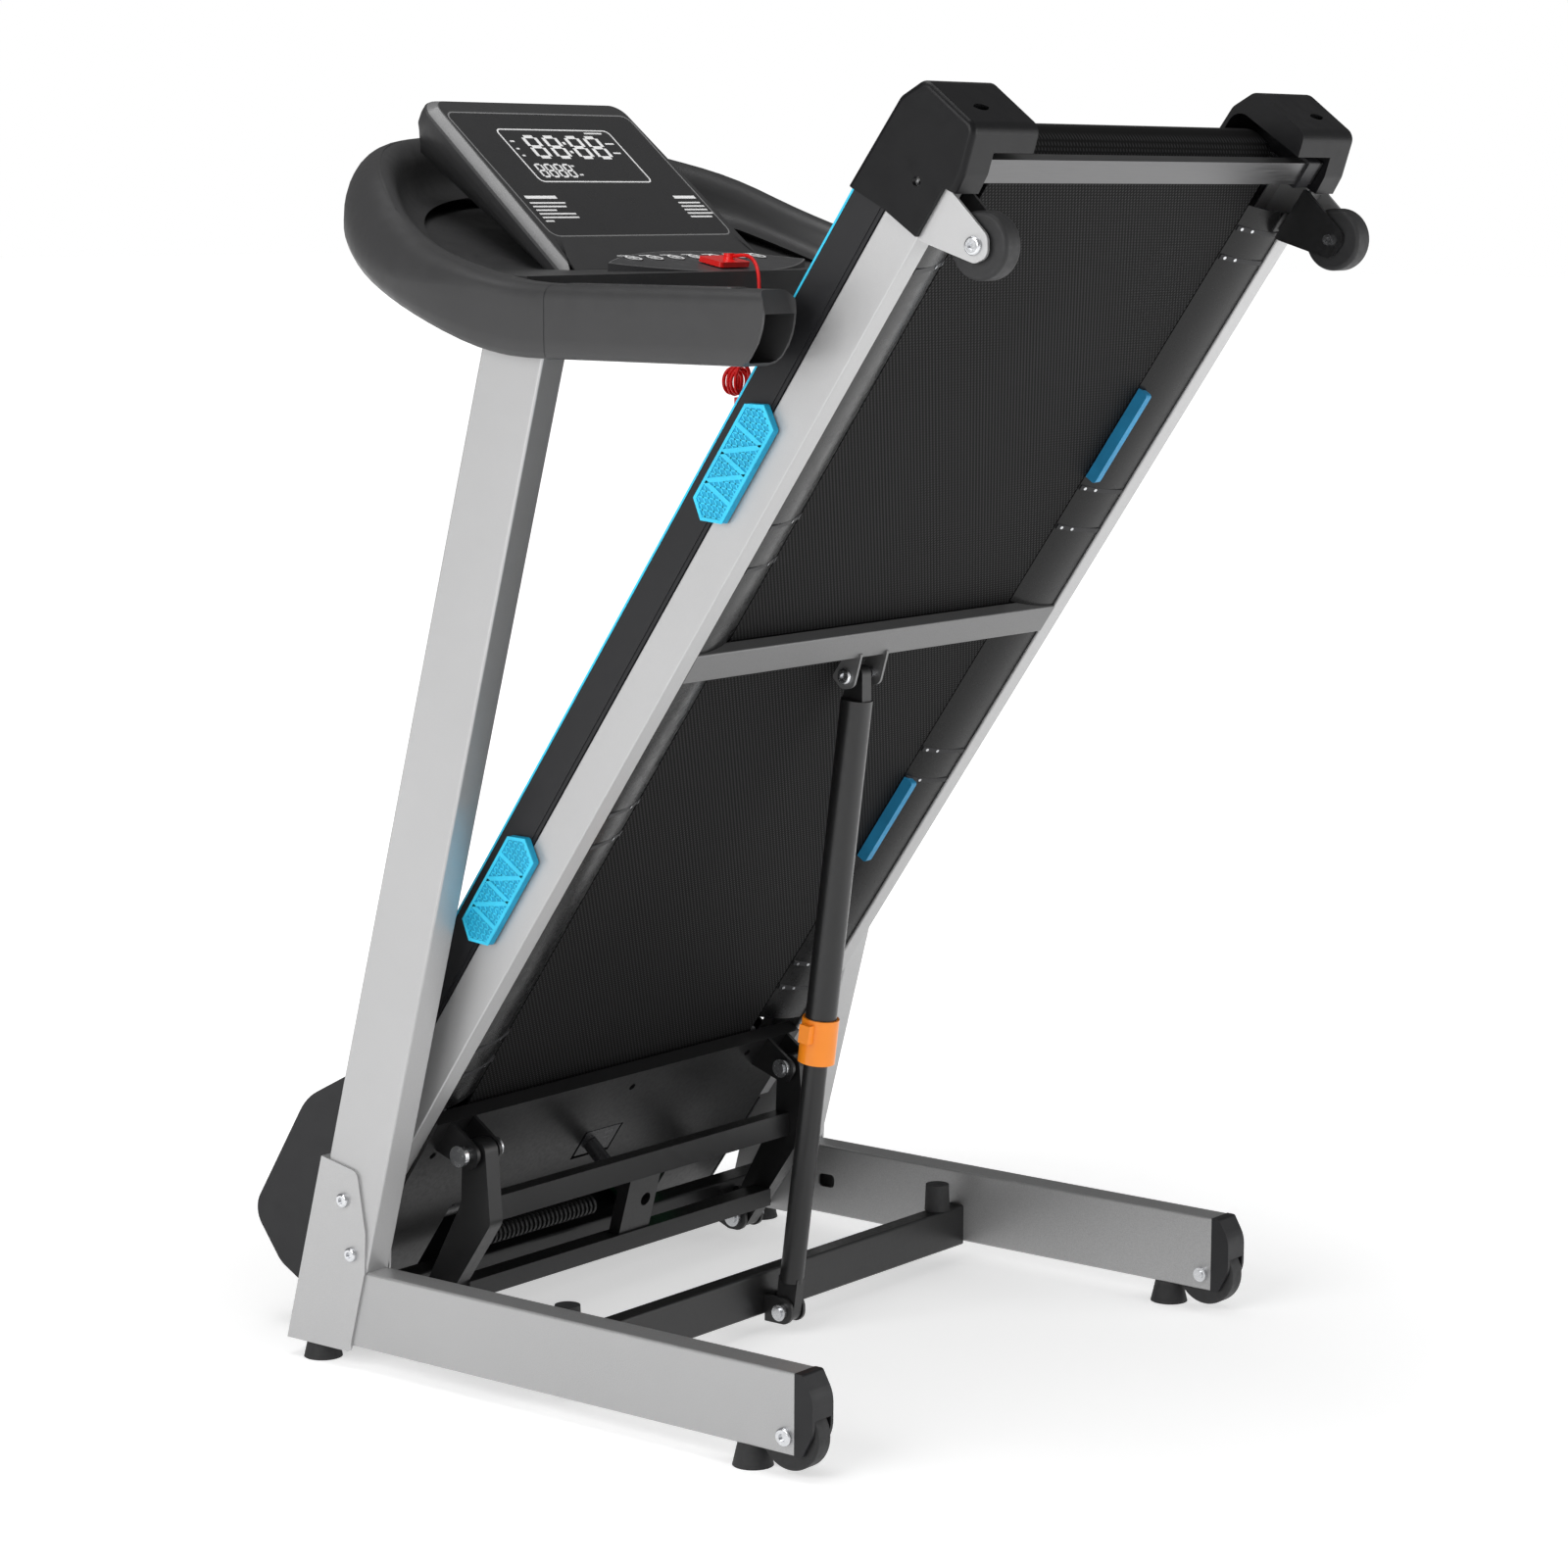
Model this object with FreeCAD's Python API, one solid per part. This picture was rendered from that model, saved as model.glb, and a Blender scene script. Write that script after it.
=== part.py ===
"""Folding home treadmill, standing folded with its deck raised.

Frame: X to the user's right, Y forward towards the motor, Z up, millimetres.
The floor is Z = 0 and the X = 0 plane is the plane of symmetry.
The deck is drawn level, as it lies in use: `u` runs back along the deck from the
front of its side rails and `n` runs up from their lower faces.  It is then turned
by DECK_ANGLE about X and set on its stand.
"""
import FreeCAD, Part
import math
import os

V = FreeCAD.Vector

# ---------------------------------------------------------------- driving dimensions
BASE_HALF = 350.0        # half the width over the base rails
RAIL_T = 29.5            # base rail width
RAIL_LOW, RAIL_HIGH = 22.0, 96.0
RAIL_REAR = -385.0
WALL = 2.0               # steel tube wall
TUBE_CORNER = 2.5        # outer corner radius of the tubes
LEAN = math.tan(math.radians(14.7))
UPRIGHT_REAR_0 = 148.0   # rear face of the upright, carried down to the floor
UPRIGHT_DEPTH, UPRIGHT_T = 74.0, 31.0
UPRIGHT_TOP = 988.0
FOOT_Y = (-328.0, 195.0)
WHEEL_Y, WHEEL_Z, WHEEL_R = -375.0, 38.0, 32.0
REAR_BAR = (-84.5, -64.5)
FRONT_BAR = (166.0, 196.0)
FOLD_Y, FOLD_Z = 143.0, 30.0      # axis that the deck folds about

DECK_ANGLE = 55.7        # deck above level when folded
DECK_Y, DECK_Z = 189.0, 100.0     # place of u = 0, n = 0
DECK_HALF = 298.4        # half the width over the side rails
RAIL_FRONT, RAIL_BACK = 60.0, 1214.5
RAIL_N = 40.75           # height of the silver side rail
COVER_TOP = 76.7
BELT_HALF = 216.0
BELT_T = 2.0
ROLLER_N = 44.0
ROLLER_R = 26.0
REAR_ROLLER_U, FRONT_ROLLER_U = 1216.0, 112.0
MOTOR_U, MOTOR_N = 8.0, 44.0
PULLEY_X = (-262.0, -244.0)
BIG_PULLEY_R, SMALL_PULLEY_R = 38.0, 16.0
LIFT_U, LIFT_N = 145.3, -35.8     # bolt that joins the lift frame to the deck
SCREW_X = (-16.0, 42.0)           # room for the lift screw, across the deck
FLOOR_WHEEL_U, FLOOR_WHEEL_N, FLOOR_WHEEL_R = 1191.8, -49.5, 28.5
MID_BAR = (689.5, 721.0)
COVER_EDGE, COVER_BELLY, COVER_FOOT = (217.5, 15.6), (243.0, 6.6), (276.0, 2.8)   # (x, n)
PAD_U, STRIP_U = (414.0, 899.5), (446.0, 925.0)
STRIP_X, STRIP_N = (218.2, 227.0), (3.6, 17.0)
STRUT_TOP_U, STRUT_TOP_N = 667.3, 1.2
STRUT_FOOT_Y, STRUT_FOOT_Z = -105.0, 24.0

RING_R = 370.0           # outer radius of the handrail loop, seen from above
RING_Y = -39.0           # centre of the loop
RING_W = 45.0            # width of the handrail
RING_END = -362.0
SKIN = 3.0               # plastic wall
FACE_FOOT = (42.0, 1028.0)        # lower and upper edge of the display face (y, z)
FACE_HEAD = (230.0, 1186.0)
KEYPAD_Y, KEYPAD_Z, KEYPAD_TILT = -4.0, 1032.4, 11.5    # line that the key panel leans about
BUTTON_X = [31.0 * i for i in range(-3, 4)]
BUTTON_NAMES = ["button_speed_down", "button_quick_speed", "button_mode", "button_stop",
                "button_program", "button_start", "button_speed_up"]
BUTTON_Y = 12.0
KEY_Y = -22.0

FIT = 0.05               # radial running clearance
GAP = 0.3                # least gap between bodies


# ---------------------------------------------------------------- building helpers
def box(x, y, z):
    """Box between the (low, high) pairs x, y and z."""
    return Part.makeBox(x[1] - x[0], y[1] - y[0], z[1] - z[0], V(x[0], y[0], z[0]))


def ubox(x, u, n):
    """Box on the level deck."""
    return box(x, (-u[1], -u[0]), n)


def rod_x(y, z, r, x):
    return Part.makeCylinder(r, x[1] - x[0], V(x[0], y, z), V(1, 0, 0))


def rod_z(x, y, r, z):
    return Part.makeCylinder(r, z[1] - z[0], V(x, y, z[0]), V(0, 0, 1))


def ring_x(y, z, r, hole, x):
    return rod_x(y, z, r, x).cut(rod_x(y, z, hole, (x[0] - 1, x[1] + 1)))


def rounded_wire(points, place):
    """Closed wire through (a, b) or (a, b, corner radius) points."""
    flat = [V(p[0], p[1], 0) for p in points]
    radii = [p[2] if len(p) > 2 else 0.0 for p in points]
    count = len(points)
    corners = []
    for i, r in enumerate(radii):
        here = flat[i]
        before = (flat[i - 1] - here).normalize()
        after = (flat[(i + 1) % count] - here).normalize()
        if r <= 0:
            corners.append((here, None, here))
            continue
        half = before.getAngle(after) / 2
        reach = r / math.tan(half)
        middle = here + (before + after).normalize() * (r / math.sin(half) - r)
        corners.append((here + before * reach, middle, here + after * reach))
    edges = []
    for i, (start, middle, end) in enumerate(corners):
        at = [place(q.x, q.y) for q in (start, end)]
        if middle is not None:
            edges.append(Part.Arc(at[0], place(middle.x, middle.y), at[1]).toShape())
        following = corners[(i + 1) % count][0]
        if (following - end).Length > 1e-6:
            edges.append(Part.LineSegment(at[1], place(following.x, following.y)).toShape())
    return Part.Wire(edges)


def prism_x(points, x):
    """Outline in (y, z) carried from x[0] to x[1]."""
    face = Part.Face(rounded_wire(points, lambda a, b: V(x[0], a, b)))
    return face.extrude(V(x[1] - x[0], 0, 0))


def uprism(points, x):
    """Outline in (u, n) on the level deck."""
    face = Part.Face(rounded_wire(points, lambda a, b: V(x[0], -a, b)))
    return face.extrude(V(x[1] - x[0], 0, 0))


def prism_z(points, z):
    face = Part.Face(rounded_wire(points, lambda a, b: V(a, b, z[0])))
    return face.extrude(V(0, 0, z[1] - z[0]))


def softened(shape, r, least=250.0):
    """Shape with its long straight edges rounded, as those of a drawn tube are."""
    long_edges = [e for e in shape.Edges if e.Length > least and e.Curve.TypeId == "Part::GeomLine"]
    return shape.makeFillet(r, long_edges)


def mirrored(shape):
    return shape.mirror(V(0, 0, 0), V(1, 0, 0))


def both(shape):
    return [shape, mirrored(shape)]


def fused(first, *rest):
    return first.fuse(list(rest)).removeSplitter()


def turned(shape, angle, origin):
    """The shape turned about the X axis and then moved to origin."""
    moved = shape.copy()
    place = FreeCAD.Placement(origin, FreeCAD.Rotation(V(1, 0, 0), angle))
    moved.Placement = place.multiply(moved.Placement)
    return moved


def on_deck(shape):
    return turned(shape, -DECK_ANGLE, V(0, DECK_Y, DECK_Z))


def deck_point(u, n):
    """(y, z) of a point of the deck as it stands folded."""
    a = math.radians(DECK_ANGLE)
    return (DECK_Y - u * math.cos(a) + n * math.sin(a), DECK_Z + u * math.sin(a) + n * math.cos(a))


def solids_of(shapes):
    found = []
    for shape in shapes:
        found += shape.Solids
    return found


def centre_shift():
    """How far the part moves along Y to stand centred on the origin."""
    front = RING_Y + RING_R
    back = deck_point(FLOOR_WHEEL_U, FLOOR_WHEEL_N)[0] - FLOOR_WHEEL_R
    return -(front + back) / 2


NODES = {}


def node(name, *shapes):
    """Keeps the solids of one named sub-part."""
    NODES[name] = solids_of(shapes)


def deck_node(name, *shapes):
    node(name, *[on_deck(s) for s in solids_of(shapes)])


# ---------------------------------------------------------------- base
def lean_y(z):
    return UPRIGHT_REAR_0 - LEAN * z


def base_rail():
    """Right-hand rail: rectangular tube, open at both ends, cut to the upright's lean."""
    inner_x = BASE_HALF - RAIL_T

    def outline(low, high, rear, front):
        return [(rear, low), (rear, high), (lean_y(high) + front, high), (lean_y(low) + front, low)]

    rail = softened(prism_x(outline(RAIL_LOW, RAIL_HIGH, RAIL_REAR, 0), (inner_x, BASE_HALF)), TUBE_CORNER)
    hollow = prism_x(outline(RAIL_LOW + WALL, RAIL_HIGH - WALL, RAIL_REAR - 5, 5),
                     (inner_x + WALL, BASE_HALF - WALL))
    wheel_notch = box((inner_x + WALL, BASE_HALF - WALL), (RAIL_REAR - 1, -343.5), (RAIL_LOW - 1, RAIL_LOW + 3))
    axle_hole = rod_x(WHEEL_Y, WHEEL_Z, 4.05, (inner_x - 5, BASE_HALF + 5))
    cable_hole = prism_x([(84, 51, 5), (84, 65, 5), (105, 65, 5), (105, 51, 5)], (inner_x - 1, inner_x + 5))
    return rail.cut([hollow, wheel_notch, axle_hole, cable_hole])


def upright():
    """Right-hand upright: leaning rectangular tube with a plate across its foot."""
    inner_x = BASE_HALF - UPRIGHT_T

    def outline(low, high, inset):
        return [(lean_y(low) + inset, low), (lean_y(high) + inset, high),
                (lean_y(high) + UPRIGHT_DEPTH - inset, high), (lean_y(low) + UPRIGHT_DEPTH - inset, low)]

    tube = softened(prism_x(outline(RAIL_LOW, UPRIGHT_TOP, 0), (inner_x, BASE_HALF)), TUBE_CORNER)
    hollow = prism_x(outline(RAIL_LOW + 3, UPRIGHT_TOP + 5, WALL), (inner_x + WALL, BASE_HALF - WALL))
    holes = [rod_x(y, z, 4.05, (BASE_HALF - 5, BASE_HALF + 5)) for y, z in SOCKET_BOLTS]
    return tube.cut([hollow] + holes)


SOCKET_BOLTS = [(148.5, 162.6), (139.0, 111.8)]
SOCKET_T = 2.5


def socket():
    """Right-hand folded plate that wraps the outer, front and inner faces of an upright's foot."""
    inner_x = BASE_HALF - UPRIGHT_T
    outline = [(225.4, 16.8), (176.9, 201.0), (131.0, 192.0, 9), (121.0, 134.0, 20), (lean_y(96), 96.0),
               (lean_y(24), 24.0, 3), (140.0, 16.8, 5)]
    plate = prism_x(outline, (inner_x - SOCKET_T, BASE_HALF + SOCKET_T))
    front = UPRIGHT_DEPTH + 0.2
    room = prism_x([(-20.0, 0.0), (-20.0, 260.0), (lean_y(260) + front, 260.0), (lean_y(0) + front, 0.0)],
                   (inner_x, BASE_HALF))
    inner_cut = prism_x([(60.0, 172.0), (60.0, 260.0), (240.0, 260.0), (240.0, 172.0)],
                        (inner_x - 10, inner_x))
    holes = [rod_x(y, z, 4.05, (BASE_HALF - 5, BASE_HALF + 5)) for y, z in SOCKET_BOLTS]
    return plate.cut([room, inner_cut] + holes)


def dome_bolt(y, z, x_face, shank, r_head=7.0, height=4.5, r=4.0):
    """Bolt along X with a domed head standing on the face at x_face, pointing inwards."""
    head = rod_x(y, z, r_head, (x_face, x_face + height))
    head = head.makeFillet(height * 0.55, [e for e in head.Edges
                                          if abs(e.CenterOfMass.x - x_face - height) < 0.01 and e.Closed
                                          and len(e.Vertexes) == 1 and e.Length > 20])
    socket_hole = rod_x(y, z, r_head * 0.42, (x_face + height - 2.2, x_face + height + 1))
    return fused(head.cut(socket_hole), rod_x(y, z, r, (x_face - shank, x_face)))


def foot(y):
    return Part.makeCone(18.5, 13.5, RAIL_LOW, V(BASE_HALF - 15.2, y, 0), V(0, 0, 1))


def rail_end_cap():
    """Right-hand plastic cap with two cheeks round the transport wheel."""
    inner_x = BASE_HALF - RAIL_T
    mid_x = BASE_HALF - RAIL_T / 2
    cap = prism_x([(RAIL_REAR, RAIL_LOW), (-393.5, RAIL_LOW, 3), (-405.0, 44.0, 30), (-405.0, 76.0, 30),
                   (-393.5, RAIL_HIGH, 3), (RAIL_REAR, RAIL_HIGH)], (inner_x, BASE_HALF))
    plug = box((inner_x + WALL + 0.2, BASE_HALF - WALL - 0.2), (RAIL_REAR - 0.5, -366.0), (76.0, 93.8))
    slot = fused(rod_x(WHEEL_Y, WHEEL_Z, WHEEL_R + 3, (mid_x - 11.2, mid_x + 11.2)),
                 box((mid_x - 11.2, mid_x + 11.2), (-420, -370), (0, WHEEL_Z)))
    return fused(cap, plug).cut(slot)


def transport_wheel():
    mid_x = BASE_HALF - RAIL_T / 2
    wheel = ring_x(WHEEL_Y, WHEEL_Z, WHEEL_R, 4.0 + FIT, (mid_x - 10, mid_x + 10))
    rims = [e for e in wheel.Edges if abs(e.Length - 2 * math.pi * WHEEL_R) < 0.5]
    return wheel.makeFillet(3.0, rims)


def wheel_axle():
    """Bolt through both walls of the rail, with a nut inside the base."""
    inner_x = BASE_HALF - RAIL_T
    bolt = dome_bolt(WHEEL_Y, WHEEL_Z, BASE_HALF, RAIL_T + 6, r_head=8.5, height=4.5)
    nut = rod_x(WHEEL_Y, WHEEL_Z, 7.0, (inner_x - 5, inner_x))
    return fused(bolt, nut)


def rear_crossbar():
    """Rectangular tube with two ears for the foot of the strut."""
    reach = BASE_HALF - RAIL_T
    bar = softened(box((-reach, reach), REAR_BAR, (18.5, 60.5)), TUBE_CORNER)
    bar = bar.cut(box((-reach - 1, reach + 1), (REAR_BAR[0] + WALL, REAR_BAR[1] - WALL), (20.5, 58.5)))
    ear = prism_x([(REAR_BAR[0], 38.0), (REAR_BAR[0], 12.0), (-117.5, 12.0, 11), (-117.5, 38.0, 11)], (7.5, 11.0))
    hole = rod_x(STRUT_FOOT_Y, STRUT_FOOT_Z, 5.05, (-20, 20))
    return fused(bar, ear, mirrored(ear)).cut(hole)


def front_crossbar():
    """Rectangular tube with four lugs that carry the folding axis."""
    reach = BASE_HALF - UPRIGHT_T - SOCKET_T
    bar = softened(box((-reach, reach), FRONT_BAR, (22.0, 62.0)), TUBE_CORNER)
    bar = bar.cut(box((-reach - 1, reach + 1), (FRONT_BAR[0] + WALL, FRONT_BAR[1] - WALL), (24.0, 60.0)))
    lug = [(FRONT_BAR[0], 22.0), (FRONT_BAR[0], 58.0, 4), (FOLD_Y, FOLD_Z + 14, 10),
           (FOLD_Y - 14, FOLD_Z + 12, 10), (FOLD_Y - 14, FOLD_Z - 14, 12), (FOLD_Y + 8, FOLD_Z - 14, 4)]
    plates = []
    for x in ((225.5, 229.5), (252.5, 256.5)):
        plates += both(prism_x(lug, x))
    return fused(bar, *plates).cut(rod_x(FOLD_Y, FOLD_Z, 6.05, (-reach, reach)))


def hex_pin(y, z, r, x, head=5.0):
    """Pin along X with a head at its outer end and a nut at its inner end."""
    return fused(rod_x(y, z, r, x), rod_x(y, z, r * 1.7, (x[1] - head, x[1])),
                 rod_x(y, z, r * 1.6, (x[0] + 2, x[0] + 2 + head)))


def build_base():
    rail = base_rail()
    node("base_rail_right", rail)
    node("base_rail_left", mirrored(rail))
    node("base_front_crossbar", front_crossbar())
    node("base_rear_crossbar", rear_crossbar())
    tube = upright()
    node("upright_right", tube)
    node("upright_left", mirrored(tube))
    node("upright_sockets", *both(socket()))
    bolts = [dome_bolt(y, z, BASE_HALF + SOCKET_T, 9.0) for y, z in SOCKET_BOLTS]
    node("socket_bolts", *bolts, *[mirrored(b) for b in bolts])
    node("base_feet", *[s for y in FOOT_Y for s in both(foot(y))])
    bumper = Part.makeCone(13.0, 12.0, 27.0, V(289.0, sum(REAR_BAR) / 2 + 1, 60.5), V(0, 0, 1))
    node("deck_bumpers", *both(bumper))
    node("rail_end_caps", *both(rail_end_cap()))
    wheel = transport_wheel()
    node("transport_wheel_right", wheel)
    node("transport_wheel_left", mirrored(wheel))
    node("transport_wheel_axles", *both(wheel_axle()))
    fold_pin = hex_pin(FOLD_Y, FOLD_Z, 6.0, (218.0, 262.0))
    strut_pin = hex_pin(STRUT_FOOT_Y, STRUT_FOOT_Z, 5.0, (-18.0, 16.0), head=4.5)
    node("base_pivot_pins", *both(fold_pin), strut_pin)


# ---------------------------------------------------------------- strut
def strut_geometry():
    """Length and lean (degrees back from vertical) of the folded strut."""
    top_y, top_z = deck_point(STRUT_TOP_U, STRUT_TOP_N)
    back, up = STRUT_FOOT_Y - top_y, top_z - STRUT_FOOT_Z
    return math.hypot(back, up), math.degrees(math.atan2(back, up))


ROD_R, CYLINDER_R, LATCH_R = 11.7, 15.2, 17.9
LATCH_Z = (253.0, 297.0)


def build_strut():
    length, lean = strut_geometry()
    origin = V(0, STRUT_FOOT_Y, STRUT_FOOT_Z)

    eye = rod_x(0, 0, 11.0, (-6, 6))
    neck = prism_x([(-11, 0), (11, 0), (11.4, 34), (-11.4, 34)], (-6, 6))
    tube = rod_z(0, 0, ROD_R, (30, 405)).cut(rod_z(0, 0, ROD_R - 2, (36, 410)))
    rod = fused(eye, neck, tube).cut(rod_x(0, 0, 5.0 + FIT, (-10, 10)))
    node("strut_rod", turned(rod, lean, origin))

    shoulder = length - 24
    barrel = rod_z(0, 0, CYLINDER_R, (LATCH_Z[0] + 17, shoulder)).cut(
        rod_z(0, 0, ROD_R + 0.6, (LATCH_Z[0] + 10, shoulder - 6)))
    crown = prism_x([(-12, shoulder - 2), (12, shoulder - 2), (8.5, length), (-8.5, length)], (-7, 7))
    top = rod_x(0, length, 8.5, (-7, 7))
    cylinder = fused(barrel, crown, top).cut(rod_x(0, length, 4.5, (-10, 10)))
    node("strut_cylinder", turned(cylinder, lean, origin))

    sleeve = rod_z(0, 0, LATCH_R, LATCH_Z)
    sleeve = sleeve.cut([rod_z(0, 0, CYLINDER_R + GAP, (LATCH_Z[0] + 5, LATCH_Z[1] + 1)),
                         rod_z(0, 0, ROD_R + 1.0, (LATCH_Z[0] - 1, LATCH_Z[0] + 6))])
    tab = box((-LATCH_R - 7, -LATCH_R + 1.5), (-6, 6), (LATCH_Z[0] + 22, LATCH_Z[1] - 4))
    node("strut_latch", turned(fused(sleeve, tab), lean, origin))


# ---------------------------------------------------------------- deck
def side_rail():
    """Right-hand channel rail, open towards the belt."""
    web_x = DECK_HALF - 2.5
    flange_x = DECK_HALF - 21.5
    rail = softened(ubox((flange_x, DECK_HALF), (RAIL_FRONT, RAIL_BACK), (0, RAIL_N)), 1.5)
    rail = rail.cut(ubox((flange_x - 1, web_x), (RAIL_FRONT - 1, RAIL_BACK + 1), (2.5, RAIL_N - 2.5)))
    return rail.cut(rod_x(-1203.5, ROLLER_N - 20, 4.05, (flange_x, DECK_HALF + 1)))


def mid_crossbar():
    """Flat tube across the deck with two ears for the top of the strut."""
    reach = DECK_HALF - 21.5
    bar = softened(ubox((-reach, reach), MID_BAR, (0, 13.5)), 1.5)
    bar = bar.cut(ubox((-reach - 1, reach + 1), (MID_BAR[0] + 1.5, MID_BAR[1] - 1.5), (1.5, 12.0)))
    ear = uprism([(MID_BAR[0], 13.5), (MID_BAR[0] + 8, -1.0, 4), (STRUT_TOP_U - 3, -12.0, 8),
                  (STRUT_TOP_U - 13, -3.0, 8), (STRUT_TOP_U - 10, 13.5, 4)], (18.8, 21.8))
    hole = rod_x(-STRUT_TOP_U, STRUT_TOP_N, 5.05, (-30, 30))
    return fused(bar, ear, mirrored(ear)).cut(hole)


def motor_pan():
    """Steel tray under the motor with a window below it and ears for the lift frame."""
    reach = DECK_HALF - 21.5
    plate = ubox((-reach, reach), (-80, 157), (-3, 0))
    window = ubox((-180, 180), (-62, 26), (-5, 5))
    screw_slot = ubox(SCREW_X, (44, 82), (-5, 5))
    lip = ubox((-reach, reach), (154.5, 157), (0, 12))
    front = ubox((-reach, reach), (-80, -77.5), (0, 20))
    ears = []
    for x in ((223.5, 227.5), (254.5, 258.5)):
        ears += both(uprism([(LIFT_U - 26, 0), (LIFT_U - 13, LIFT_N - 13, 12), (LIFT_U + 11.7, LIFT_N - 13, 11),
                             (LIFT_U + 11.7, 0)], x))
    pan = fused(plate, lip, front, *ears).cut([window, screw_slot])
    holes = [rod_x(-LIFT_U, LIFT_N, 6.05, (-270, 270))]
    holes += [rod_z(x, -u, 4.0, (-6, 2)) for x, u in ((20, 136), (-214, 142), (200, 142), (-257, 112), (257, 112))]
    return pan.cut(holes)


def running_board():
    return ubox((-BELT_HALF - 18, BELT_HALF + 18), (148, 1172), (52.0, 68.0))


def belt_loop(r, x, thickness, u):
    """Endless belt round two rollers of radius r, seen along X; u gives (centre u, n, radius) twice."""
    (u1, n1, r1), (u2, n2, r2) = u
    outer, inner = [belt_outline((u1, n1, r1 + r + extra), (u2, n2, r2 + r + extra), x) for extra in (thickness, 0)]
    return outer.cut(inner)


def belt_outline(a, b, x):
    """Solid filled stadium with two end radii, joined by their common tangents."""
    (u1, n1, r1), (u2, n2, r2) = a, b
    gap = math.hypot(u2 - u1, n2 - n1)
    along = math.atan2(n2 - n1, u2 - u1)
    spread = math.acos((r1 - r2) / gap)
    place = lambda c, rr, angle: V(x[0], -(c[0] + rr * math.cos(angle)), c[1] + rr * math.sin(angle))
    c1, c2 = (u1, n1), (u2, n2)
    up, down = along + spread, along - spread
    edges = [Part.LineSegment(place(c1, r1, up), place(c2, r2, up)).toShape(),
             Part.Arc(place(c2, r2, up), place(c2, r2, along), place(c2, r2, down)).toShape(),
             Part.LineSegment(place(c2, r2, down), place(c1, r1, down)).toShape(),
             Part.Arc(place(c1, r1, down), place(c1, r1, along + math.pi), place(c1, r1, up)).toShape()]
    return Part.Face(Part.Wire(edges)).extrude(V(x[1] - x[0], 0, 0))


def running_belt():
    return belt_loop(GAP, (-BELT_HALF, BELT_HALF), BELT_T,
                     ((FRONT_ROLLER_U, ROLLER_N, ROLLER_R), (REAR_ROLLER_U, ROLLER_N, ROLLER_R)))


def side_cover():
    """Right-hand foot rail: plastic cover over the top of the side rail and the board's edge."""
    outer = DECK_HALF + 1.5
    inner = BELT_HALF + 16
    front, back = 158, 1166
    cover = uprism([(front, RAIL_N + 0.5), (front, COVER_TOP, 3), (back, COVER_TOP, 3), (back, RAIL_N + 0.5)],
                   (inner, outer))
    under = ubox((inner - 1, outer - 2.5), (front - 2, back + 2), (RAIL_N - 2, 72.5))
    recess = ubox((outer - 0.8, outer + 1), (front - 2, back + 2), (RAIL_N, RAIL_N + 4.0))
    return cover.cut([under, recess])


def above_inner_cover(u, rise):
    """Room above the inner cover's lower face, after that face is raised."""
    def at(x, n):
        return V(x, -u[0], n + rise)

    corners = [at(*COVER_FOOT), at(290.0, COVER_FOOT[1]), V(290.0, -u[0], 30.0), V(COVER_EDGE[0], -u[0], 30.0),
               at(*COVER_EDGE)]
    edges = [Part.LineSegment(a, b).toShape() for a, b in zip(corners, corners[1:])]
    edges.append(Part.Arc(corners[-1], at(*COVER_BELLY), corners[0]).toShape())
    return Part.Face(Part.Wire(edges)).extrude(V(0, u[0] - u[1], 0))


def inner_cover(u):
    """Right-hand curved sheet from the rail's lower flange to the edge of the belt."""
    return above_inner_cover(u, 0.0).cut(above_inner_cover((u[0] - 1, u[1] + 1), 1.8))


def hex_pad(u_mid):
    """Right-hand cushion: hexagonal pad on the side cover."""
    half, low, high, mid = 62.0, 26.0, 65.0, 47.0
    pad = uprism([(u_mid - half, mid, 3), (u_mid - half + 12, high, 3), (u_mid + half - 12, high, 3),
                  (u_mid + half, mid, 3), (u_mid + half - 12, low, 3), (u_mid - half + 12, low, 3)],
                 (DECK_HALF + 1.6, DECK_HALF + 8.0))
    return pad


def inner_strip(u_mid):
    """Right-hand cushion strip that stands on the inner cover, beside the belt."""
    low, high = STRIP_N
    back = u_mid + 52
    front = u_mid - 52
    strip = uprism([(front, low, 3), (front, high), (back, high), (back, low, 3)], STRIP_X)
    return strip.cut(above_inner_cover((front - 1, back + 1), -0.1))


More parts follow.
